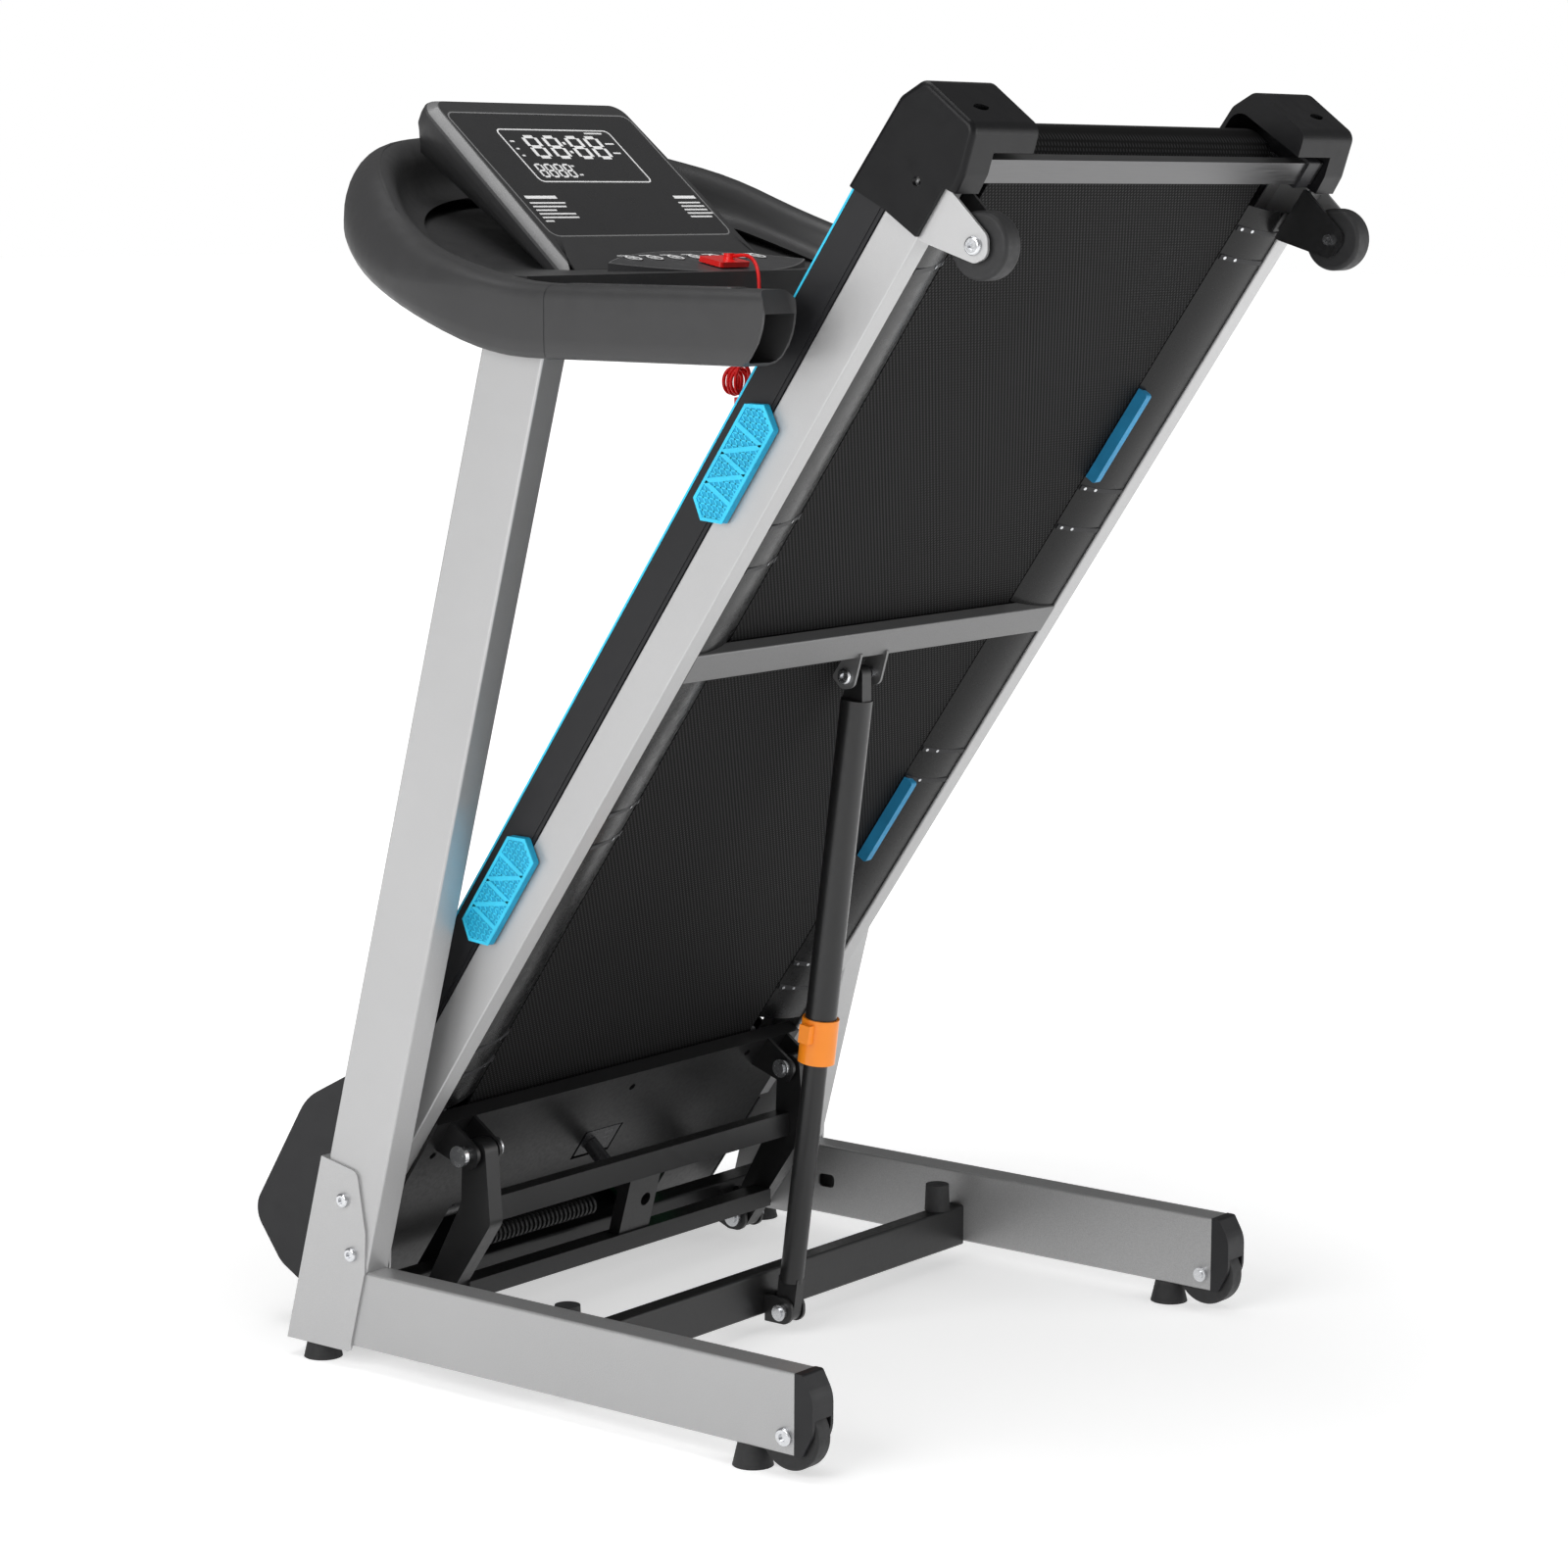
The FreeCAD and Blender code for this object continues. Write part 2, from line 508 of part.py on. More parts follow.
def rear_cap():
    """Right-hand end cap: shell round the end of the rail, arched over the roller."""
    side = [(1161, 81.4), (1250.5, 78.8, 12), (1276.8, 65.6, 12), (1273.3, 1.1, 12), (1234.5, -10.7, 12),
            (1216.5, -11.8), (1214.9, 0.0), (1166, 0.0), (1166, RAIL_N)]
    outer = DECK_HALF + 5
    cap = uprism(side, (outer - 92, outer))
    rim = [e for e in cap.Edges if e.BoundBox.XMin > outer - 0.01 and -e.CenterOfMass.y > 1190
           and e.CenterOfMass.z != 0.0 and -e.BoundBox.YMin > 1217]
    cap = cap.makeFillet(5.0, rim)
    rail_room = ubox((DECK_HALF - 60, DECK_HALF + 0.2), (1150, RAIL_BACK + 0.3), (-1, RAIL_N + 0.2))
    board_room = ubox((outer - 110, DECK_HALF - 4), (1150, 1180), (-1, 74.5))
    cheek = DECK_HALF - 30
    arch = uprism([(1150, -20), (1150, 75), (REAR_ROLLER_U, 75, 0), (1252, 75, 14), (1252, -20)],
                  (outer - 100, cheek))
    cover_room = ubox((outer - 110, DECK_HALF + 1.7), (1150, 1166.3), (RAIL_N - 1, COVER_TOP + 0.2))
    below = ubox((outer - 110, DECK_HALF + 0.2), (1150, 1216), (-20, RAIL_N - 0.2))
    lens = [Part.makeCylinder(16.0, 30.0, V(DECK_HALF - 32, -1290, n), V(0, 1, 0)) for n in (16.0, 39.0)]
    hole = lens[0].common(lens[1])
    screw = rod_x(-1203.5, 24.7, 4.05, (250, 320))
    slot = rod_x(-REAR_ROLLER_U, ROLLER_N, 6.2, (outer - 100, cheek + 14))
    return cap.cut([rail_room, board_room, cover_room, arch, below, hole, screw, slot])


def rear_tie_bar():
    x = (-267.0, 267.0)
    return fused(ubox(x, (1221, 1244), (-3.0, -0.6)), ubox(x, (1221, 1223.4), (-3.0, 6.0)),
                 ubox(x, (1241.6, 1244), (-3.0, 6.0)))


def floor_wheel_bracket():
    """Right-hand plate bent down from the rail to carry a floor wheel outside it."""
    plate = uprism([(1164, -0.1), (1164, -3.5), (1180, -58, 8), (1192, -66, 10), (1206, -56, 12),
                    (1214.5, -8, 3), (1214.5, -0.1)], (DECK_HALF - 3.0, DECK_HALF))
    foot_plate = ubox((DECK_HALF - 21, DECK_HALF), (1164, 1214.5), (-3.1, -0.1))
    return fused(plate, foot_plate).cut(rod_x(-FLOOR_WHEEL_U, FLOOR_WHEEL_N, 5.05, (280, 310)))


def floor_wheel():
    wheel = ring_x(-FLOOR_WHEEL_U, FLOOR_WHEEL_N, FLOOR_WHEEL_R, 5.0 + FIT, (DECK_HALF - 28, DECK_HALF - 6))
    rims = [e for e in wheel.Edges if abs(e.Length - 2 * math.pi * FLOOR_WHEEL_R) < 0.5]
    return wheel.makeFillet(4.0, rims)


def deck_bolts():
    """Lift-frame bolts, wheel axles and the two short bolts beside the strut's top."""
    lift = hex_pin(-LIFT_U, LIFT_N, 6.0, (216.0, 272.0))
    axle = dome_bolt(-FLOOR_WHEEL_U, FLOOR_WHEEL_N, DECK_HALF, 36.0, r_head=8.0, height=4.0, r=5.0)
    stub = dome_bolt(-STRUT_TOP_U, STRUT_TOP_N, 21.8, 8.0, r_head=7.5, height=4.0, r=5.0)
    return both(lift) + both(axle) + both(stub)


def roller(u, r, hole=8.0):
    return ring_x(-u, ROLLER_N, r, hole + FIT, (-BELT_HALF - 6, BELT_HALF + 6))


def front_roller():
    pulley = ring_x(-FRONT_ROLLER_U, ROLLER_N, BIG_PULLEY_R, 8.0 + FIT, PULLEY_X)
    neck = ring_x(-FRONT_ROLLER_U, ROLLER_N, 18.0, 8.0 + FIT, (PULLEY_X[1] - 1, -BELT_HALF - 5))
    return fused(roller(FRONT_ROLLER_U, ROLLER_R), neck, pulley)


def roller_axles():
    front = rod_x(-FRONT_ROLLER_U, ROLLER_N, 8.0, (-276, 276))
    rear = rod_x(-REAR_ROLLER_U, ROLLER_N, 8.0, (-262, 262))
    ends = [rod_x(-REAR_ROLLER_U, ROLLER_N, 6.0, x) for x in ((-270, -262), (262, 270))]
    return [front, fused(rear, *ends)]


def motor_hood():
    """Moulded cover over the motor, open underneath."""
    def outline(inset):
        low = 0.05 if inset == 0 else -10
        return [(-84 + inset, low), (-91 + inset, 70 - inset, 30), (-72 + inset, 127 - inset, 26),
                (70, 134 - inset, 60), (176 - inset, 78.5 - inset * 0.6, 4), (176 - inset, 74.5 if inset == 0 else 60),
                (126, 74.5 if inset == 0 else 60), (126, low)]

    hood = uprism(outline(0), (-288, 288))
    room = uprism(outline(SKIN), (-288 + SKIN, 288 - SKIN))
    rail_room = [ubox(x, (54, 140), (-5, RAIL_N + 1)) for x in ((270, 300), (-300, -270))]
    cover_room = [ubox(x, (122, 200), (60, 78.4)) for x in ((228, 300), (-300, -228))]
    return hood.cut([room] + rail_room + cover_room)


def drive_motor():
    """Ribbed motor lying across the tray, with its shaft towards the pulley."""
    body = rod_x(-MOTOR_U, MOTOR_N, 38.0, (-176, 70))
    shape = fused(body, rod_x(-MOTOR_U, MOTOR_N, 34.0, (-190, 84)))
    grooves = []
    for i in range(17):
        x = -110 + i * 10
        grooves.append(rod_x(-MOTOR_U, MOTOR_N, 39.0, (x, x + 5)).cut(rod_x(-MOTOR_U, MOTOR_N, 33.5, (x - 1, x + 6))))
    shaft = rod_x(-MOTOR_U, MOTOR_N, 7.0, (PULLEY_X[0] - 4, -189))
    return fused(shape.cut(grooves), shaft)


def motor_pulley():
    return ring_x(-MOTOR_U, MOTOR_N, SMALL_PULLEY_R, 7.0 + FIT, PULLEY_X)


def lift_frame():
    """Incline frame: two bent arms joined by two square tubes and a centre strap."""
    lower = (FOLD_Y, FOLD_Z)
    upper = deck_point(LIFT_U, LIFT_N)
    bend = (76.0, 140.0)
    arm = prism_x([(lower[0] + 13, lower[1] + 2, 8), (lower[0] - 6, lower[1] - 15, 8), (bend[0] - 19, bend[1] - 8, 12),
                   (upper[0] - 14, upper[1] + 12, 12), (upper[0] + 14, upper[1] + 12, 12), (bend[0] + 18, bend[1] + 8, 12)],
                  (232.0, 250.0))
    upper_bar = box((-231.9, 231.9), (76.0, 94.0), (127.0, 151.0))
    lower_bar = box((-231.9, 231.9), (100.0, 124.0), (48.0, 66.0))
    strap = prism_x([(104, 60), (116, 66), (94, 150), (82, 140)], (SCREW_X[0] + 6, SCREW_X[1] - 6))
    frame = fused(arm, mirrored(arm), upper_bar, lower_bar, strap)
    holes = [rod_x(lower[0], lower[1], 6.0 + FIT, (-260, 260)), rod_x(upper[0], upper[1], 6.05, (-260, 260))]
    keyhole = Part.makeCylinder(7, 60, V(sum(SCREW_X) / 2 + 8, 70, 92), V(0, 1, 0.26))
    return frame.cut(holes + [keyhole])


def incline_actuator():
    """Lift motor beside the drive motor, with its screw reaching down to the lift frame's strap."""
    gearbox = ubox((SCREW_X[0] + 3, SCREW_X[1] - 3), (48, 81), (-3.2, 66.0))
    motor = rod_x(-64, 48.0, 15.0, (SCREW_X[1] - 4, SCREW_X[1] + 70))
    start, end = V(SCREW_X[0] + 20, -62, -3), V(SCREW_X[0] + 20, -55.0, -61.5)
    screw = Part.makeCylinder(8.0, (end - start).Length, start, end - start)
    return fused(gearbox, motor, screw)


def build_deck():
    rail = side_rail()
    deck_node("side_rail_right", rail)
    deck_node("side_rail_left", mirrored(rail))
    deck_node("mid_crossbar", mid_crossbar())
    deck_node("motor_pan", motor_pan())
    deck_node("running_board", running_board())
    deck_node("running_belt", running_belt())
    inner_covers = [inner_cover(u) for u in ((172.0, MID_BAR[0] - 0.5), (MID_BAR[1] + 0.5, 1185.0))]
    deck_node("side_covers", *[c for cover in [side_cover(), *inner_covers] for c in both(cover)])
    cushions = [hex_pad(u) for u in PAD_U] + [inner_strip(u) for u in STRIP_U]
    deck_node("deck_cushions", *cushions, *[mirrored(c) for c in cushions])
    cap = rear_cap()
    deck_node("rear_end_cap_right", cap)
    deck_node("rear_end_cap_left", mirrored(cap))
    deck_node("rear_tie_bar", rear_tie_bar())
    deck_node("floor_wheel_brackets", *both(floor_wheel_bracket()))
    wheel = floor_wheel()
    deck_node("floor_wheel_right", wheel)
    deck_node("floor_wheel_left", mirrored(wheel))
    deck_node("deck_bolts", *deck_bolts())
    deck_node("rear_roller", roller(REAR_ROLLER_U, ROLLER_R))
    deck_node("front_roller", front_roller())
    deck_node("roller_axles", *roller_axles())
    deck_node("motor_hood", motor_hood())
    deck_node("drive_motor", drive_motor())
    deck_node("motor_pulley", motor_pulley())
    deck_node("drive_belt", belt_loop(GAP, (PULLEY_X[0] + 2, PULLEY_X[1] - 2), 3.0,
                                      ((MOTOR_U, MOTOR_N, SMALL_PULLEY_R), (FRONT_ROLLER_U, ROLLER_N, BIG_PULLEY_R))))
    deck_node("motor_controller", ubox((150, 258), (-70, 40), (1.0, 34.0)))
    deck_node("incline_actuator", incline_actuator())
    node("lift_frame", lift_frame())


# ---------------------------------------------------------------- console
ARM_LOW = 955.0
TRAY_TOP = 1022.0        # floor of the recess that the key panel stands in
RING_BEND = -95.0        # the arms are level behind this, and the loop climbs in front of it
RING_CLIMB = [(-24, 966.5), (70, 999), (186, 1046), (260, 1072), (345, 1090)]
RING_RISE = 64.0


def ring_edge(shift, rise):
    """Side profile of the loop: a level arm and the curve that climbs from it."""
    def at(y, z):
        return V(-400, y, z + shift + rise + (max(0.0, y) * 0.02 if rise else 0.0))

    curve = Part.BSplineCurve()
    curve.interpolate(Points=[at(RING_BEND, ARM_LOW)] + [at(y, z) for y, z in RING_CLIMB],
                      InitialTangent=V(0, 70, 0), FinalTangent=V(0, 85, 14))
    return [Part.LineSegment(at(-440, ARM_LOW), at(RING_BEND, ARM_LOW)).toShape(), curve.toShape()]


def ring_block(inset):
    """Handrail loop with every face moved in by inset."""
    out, inn = RING_R - inset, RING_R - RING_W + inset
    end = RING_END - 60

    def plan(r):
        edges = [Part.LineSegment(V(r, end, 900), V(r, RING_Y, 900)).toShape(),
                 Part.Arc(V(r, RING_Y, 900), V(0, RING_Y + r, 900), V(-r, RING_Y, 900)).toShape(),
                 Part.LineSegment(V(-r, RING_Y, 900), V(-r, end, 900)).toShape(),
                 Part.LineSegment(V(-r, end, 900), V(r, end, 900)).toShape()]
        return Part.Face(Part.Wire(edges)).extrude(V(0, 0, 300))

    low = ring_edge(inset, 0.0)
    high = ring_edge(-inset, RING_RISE)
    close = [Part.LineSegment(low[-1].Vertexes[-1].Point, high[-1].Vertexes[-1].Point).toShape(),
             Part.LineSegment(high[0].Vertexes[0].Point, low[0].Vertexes[0].Point).toShape()]
    side = Part.Wire(Part.__sortEdges__(low + high + close))
    band = Part.Face(side).extrude(V(800, 0, 0))
    return plan(out).cut(plan(inn)).common(band)


def handrail_shell():
    """Hollow loop handrail, open at the two rear ends, with a pocket for each upright."""
    end_cut = prism_x([(-600, 900), (RING_END + 46, 900), (RING_END + 46, 955.0), (RING_END + 30, 955.01, 30),
                       (RING_END, 987, 30), (RING_END, 1019.0, 10), (RING_END + 20, 1030.0), (-600, 1030.0)],
                      (-500, 500))
    shell = ring_block(0).cut(end_cut)
    hollow = ring_block(SKIN)
    shell = shell.cut(hollow)
    return shell.cut(upright_pockets())


def upright_pockets():
    """Room for the tops of both uprights inside the console."""
    inner_x = BASE_HALF - UPRIGHT_T
    low, high, play = 940, UPRIGHT_TOP + 1, 0.5
    pocket = prism_x([(lean_y(low) - play, low), (lean_y(high) - play, high),
                      (lean_y(high) + UPRIGHT_DEPTH + play, high), (lean_y(low) + UPRIGHT_DEPTH + play, low)],
                     (inner_x - play, BASE_HALF + play))
    return both(pocket)


def tray_plan(z):
    """Plan of the space inside the handrail loop."""
    r = RING_R - RING_W - 0.4
    rear = -62.0
    edges = [Part.LineSegment(V(r, rear, z), V(r, RING_Y, z)).toShape(),
             Part.Arc(V(r, RING_Y, z), V(0, RING_Y + r, z), V(-r, RING_Y, z)).toShape(),
             Part.LineSegment(V(-r, RING_Y, z), V(-r, rear, z)).toShape(),
             Part.LineSegment(V(-r, rear, z), V(r, rear, z)).toShape()]
    return Part.Face(Part.Wire(edges))


def tray_profile(inset):
    low = [(-80 - inset, 972 + inset, 0), (20, 985 + inset, 60), (180, 1040 + inset, 60), (330, 1078 + inset)]
    high = [(330, 1100 - inset), (180, 1062 - inset, 60), (90, 1026 - inset, 60), (-80 - inset, 1024 - inset)]
    return low + high


def console_tray():
    """Hollow casing that bridges the loop and carries keypad and display."""
    solid = tray_block()
    rear = -62.0 + SKIN
    inner_plan = tray_plan(900).extrude(V(0, 0, 300)).common(box((-322, 322), (rear, 283), (900, 1200)))
    hollow = inner_plan.common(prism_x(tray_profile(SKIN), (-400, 400)))
    return solid.cut([hollow, keypad_blank(), *upright_pockets()])


def tray_block():
    """The casing's outer shape, with no hollow in it."""
    return tray_plan(900).extrude(V(0, 0, 300)).common(prism_x(tray_profile(0), (-400, 400)))


def face_frame():
    """Origin, up-slope direction and outward normal of the display face."""
    dy, dz = FACE_HEAD[0] - FACE_FOOT[0], FACE_HEAD[1] - FACE_FOOT[1]
    length = math.hypot(dy, dz)
    slope = V(0, dy / length, dz / length)
    return V(0, FACE_FOOT[0], FACE_FOOT[1]), slope, V(0, -slope.z, slope.y), length


def on_face(points, depth):
    """Prism on the display face: (x, up-slope) outline between two depths along its normal."""
    origin, slope, normal, _ = face_frame()
    at = origin + normal * depth[0]
    face = Part.Face(rounded_wire(points, lambda a, b: at + V(a, 0, 0) + slope * b))
    return face.extrude(normal * (depth[1] - depth[0]))


def display_housing():
    """Hollow wedge with the sloping display face and a recess for the panel."""
    length = face_frame()[3]

    def wedge(inset):
        side = prism_x([(30 + inset, 1012 + inset), (FACE_FOOT[0], FACE_FOOT[1] - inset * 1.3),
                        (FACE_HEAD[0], FACE_HEAD[1] - inset * 1.3, 5), (252 - inset, 1168 - inset, 10),
                        (252 - inset, 1128, 20), (176, 1058 + inset, 20), (120, 1032 + inset)], (-200, 200))
        trim = on_face([(-166 + inset, -40), (166 - inset, -40), (152 - inset, length - inset, 22),
                        (-152 + inset, length - inset, 22)], (-150, 20))
        return side.common(trim)

    shell = wedge(0).cut(wedge(SKIN))
    recess = on_face(panel_outline(0.3), (-2.0, 5))
    return shell.cut([recess, tray_block(), ring_block(0)])


def panel_outline(grow):
    low, high, half = 44.0 - grow, 222.0 + grow, 133.0 + grow
    return [(-half, low, 10), (half, low, 10), (half, high, 10), (-half, high, 10)]


def on_keypad(shape):
    """Moves a shape drawn on a level key panel onto the leaning one."""
    tilted = shape.copy()
    tilted.rotate(V(0, KEYPAD_Y, KEYPAD_Z), V(1, 0, 0), KEYPAD_TILT)
    return tilted


def keypad_blank():
    """Lens-shaped block that stands in a recess of the casing, its top leaning towards the user."""
    half, top, low = 148.0, 38.0, -50.0
    edges = [Part.Arc(V(-half, KEYPAD_Y, TRAY_TOP), V(0, top, TRAY_TOP), V(half, KEYPAD_Y, TRAY_TOP)).toShape(),
             Part.Arc(V(half, KEYPAD_Y, TRAY_TOP), V(0, low, TRAY_TOP), V(-half, KEYPAD_Y, TRAY_TOP)).toShape()]
    block = Part.Face(Part.Wire(edges)).extrude(V(0, 0, 30.0))
    return block.cut(on_keypad(box((-200, 200), (-80, 80), (KEYPAD_Z, KEYPAD_Z + 60))))


def keypad_panel():
    """Key panel with a well for every key and one for the safety key."""
    wells = [rod_z(x, BUTTON_Y, 9.5, (KEYPAD_Z - 4.0, KEYPAD_Z + 5)) for x in BUTTON_X]
    wells.append(box((-10.4, 10.4), (KEY_Y - 6.4, KEY_Y + 6.4), (KEYPAD_Z - 4.0, KEYPAD_Z + 5)))
    return keypad_blank().cut([on_keypad(well) for well in wells])


def button(x):
    key = rod_z(x, BUTTON_Y, 9.0, (KEYPAD_Z - 2.6, KEYPAD_Z + 0.8))
    rim = [e for e in key.Edges if abs(e.CenterOfMass.z - KEYPAD_Z - 0.8) < 0.01]
    return on_keypad(key.makeFillet(0.5, rim))


def safety_key():
    """Flat magnetic key with a tongue in the panel and an eye for its cord."""
    plate = prism_z([(-22, KEY_Y - 15, 4), (22, KEY_Y - 15, 4), (22, KEY_Y + 15, 4), (-22, KEY_Y + 15, 4)],
                    (KEYPAD_Z + 1.2, KEYPAD_Z + 6.2))
    tongue = box((-10, 10), (KEY_Y - 6, KEY_Y + 6), (KEYPAD_Z - 3.6, KEYPAD_Z + 2))
    eye = rod_z(CORD_X, KEY_Y, 5.5, (1031.5, 1040.0))
    return fused(on_keypad(plate), on_keypad(tongue), eye)


def build_console():
    node("handrail_shell", handrail_shell())
    node("console_tray", console_tray())
    node("display_housing", display_housing())
    node("display_panel", on_face(panel_outline(0), (-2.0, -0.2)))
    node("circuit_board", on_face([(-120, 60), (120, 60), (120, 200), (-120, 200)], (-14, -12.4)))
    node("keypad_panel", keypad_panel())
    for name, x in zip(BUTTON_NAMES, BUTTON_X):
        node(name, button(x))
    node("safety_key", safety_key())


# ---------------------------------------------------------------- safety cord
CORD_R = 1.75
CORD_X = 8.0
HANK_X, HANK_Y, HANK_TOP, HANK_LOW = -43.0, -78.0, 938.0, 908.0
CORD_ROUTE = [(CORD_X, KEY_Y - 5.9, 1037.5), (CORD_X - 1.0, -40.0, 1039.0), (1.0, -55.0, 1036.5),
              (-8.0, -69.0, 1027.5), (-14.0, -76.0, 1010.0), (-18.0, -77.5, 989.0),
              (-24.0, -77.5, 965.0), (-34.0, HANK_Y, HANK_TOP)]


def cord_tube(points, r):
    """Tube along straight runs joined by tangent arcs, each as large as its runs allow."""
    pts = [V(*p) for p in points]
    edges, at = [], pts[0]
    for a, b, c in zip(pts, pts[1:], pts[2:]):
        back, on = (a - b).normalize(), (c - b).normalize()
        turn = math.pi - back.getAngle(on)
        reach = 0.45 * min((a - b).Length, (c - b).Length)
        radius = reach / math.tan(turn / 2)
        print("cord arc radius %.1f" % radius)
        start, end = b + back * reach, b + on * reach
        middle = b + (back + on).normalize() * (radius / math.cos(turn / 2) - radius)
        edges += [Part.LineSegment(at, start).toShape(), Part.Arc(start, middle, end).toShape()]
        at = end
    edges.append(Part.LineSegment(at, pts[-1]).toShape())
    path = Part.Wire(edges)
    disc = Part.Wire(Part.Circle(pts[0], pts[1] - pts[0], r).toShape())
    tube = path.makePipeShell([disc], True, False)
    print("cord length %.1f, volume over section times length %.4f"
          % (path.Length, tube.Volume / (math.pi * r * r * path.Length)))
    return tube


def build_cord():
    node("safety_cord", cord_tube(CORD_ROUTE, CORD_R))
    hank = Part.makeBox(30, 16, HANK_TOP - HANK_LOW, V(HANK_X - 15, HANK_Y - 8, HANK_LOW))
    hank = hank.makeFillet(6.0, [e for e in hank.Edges if abs(e.tangentAt(0).z) > 0.9])
    node("safety_cord_hank", hank)
    clip = Part.makeBox(12, 8, 34, V(HANK_X - 6, HANK_Y - 4, HANK_LOW - 34))
    node("safety_clip", clip)


def main():
    build_base()
    build_strut()
    build_deck()
    build_console()
    build_cord()
    os.makedirs("parts", exist_ok=True)
    total = Part.makeCompound([s for solids in NODES.values() for s in solids])
    print("nodes", len(NODES), "box", total.BoundBox)
    for name, solids in NODES.items():
        bad = [s for s in solids if not s.isValid() or s.Volume <= 0]
        if bad or not solids:
            print("BAD", name, len(solids), len(bad))
        shape = Part.makeCompound(solids) if len(solids) > 1 else solids[0].copy()
        shape.translate(V(0, centre_shift(), 0))
        shape.exportStep("parts/%s.step" % name)


main()
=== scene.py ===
"""Looks of the folding home treadmill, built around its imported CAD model.

Lengths are metres in the row frame: X to the user's right, Y forward, Z up, floor at Z = 0.
The deck stands folded; `u` runs back along it and `n` out of its walking side.
"""
import math

import bmesh
import bpy
from mathutils import Euler, Matrix, Vector


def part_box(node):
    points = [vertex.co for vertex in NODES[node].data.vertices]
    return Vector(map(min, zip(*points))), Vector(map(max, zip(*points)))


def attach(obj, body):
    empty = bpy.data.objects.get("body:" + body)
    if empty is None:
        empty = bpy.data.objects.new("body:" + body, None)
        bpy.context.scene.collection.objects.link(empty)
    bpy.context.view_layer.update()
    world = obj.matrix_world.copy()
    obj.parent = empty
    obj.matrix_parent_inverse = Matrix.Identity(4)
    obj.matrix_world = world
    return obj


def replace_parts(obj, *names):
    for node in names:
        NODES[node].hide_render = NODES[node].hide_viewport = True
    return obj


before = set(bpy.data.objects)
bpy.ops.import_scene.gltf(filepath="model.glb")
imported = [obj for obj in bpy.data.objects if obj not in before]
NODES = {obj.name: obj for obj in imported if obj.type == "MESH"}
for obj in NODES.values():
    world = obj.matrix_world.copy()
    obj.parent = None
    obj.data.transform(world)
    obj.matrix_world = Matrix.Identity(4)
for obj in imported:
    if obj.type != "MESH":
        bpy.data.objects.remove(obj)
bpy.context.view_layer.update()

# ---------------------------------------------------------------- places taken from the CAD model
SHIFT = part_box("base_rail_left")[0][1] + 0.385
DECK_ANGLE = math.radians(55.7)
ALONG = Vector((0, -math.cos(DECK_ANGLE), math.sin(DECK_ANGLE)))    # direction of u
OUT = Vector((0, math.sin(DECK_ANGLE), math.cos(DECK_ANGLE)))       # direction of n
DECK_ORIGIN = Vector((0, 0.189 + SHIFT, 0.100))


def at(x, y, z):
    """Point of the stand or console, from millimetres of the CAD drawing."""
    return Vector((x / 1000, y / 1000 + SHIFT, z / 1000))


def deck_at(x, u, n):
    """Point of the deck, from millimetres across, along and above it."""
    return DECK_ORIGIN + Vector((x, 0, 0)) / 1000 + ALONG * (u / 1000) + OUT * (n / 1000)


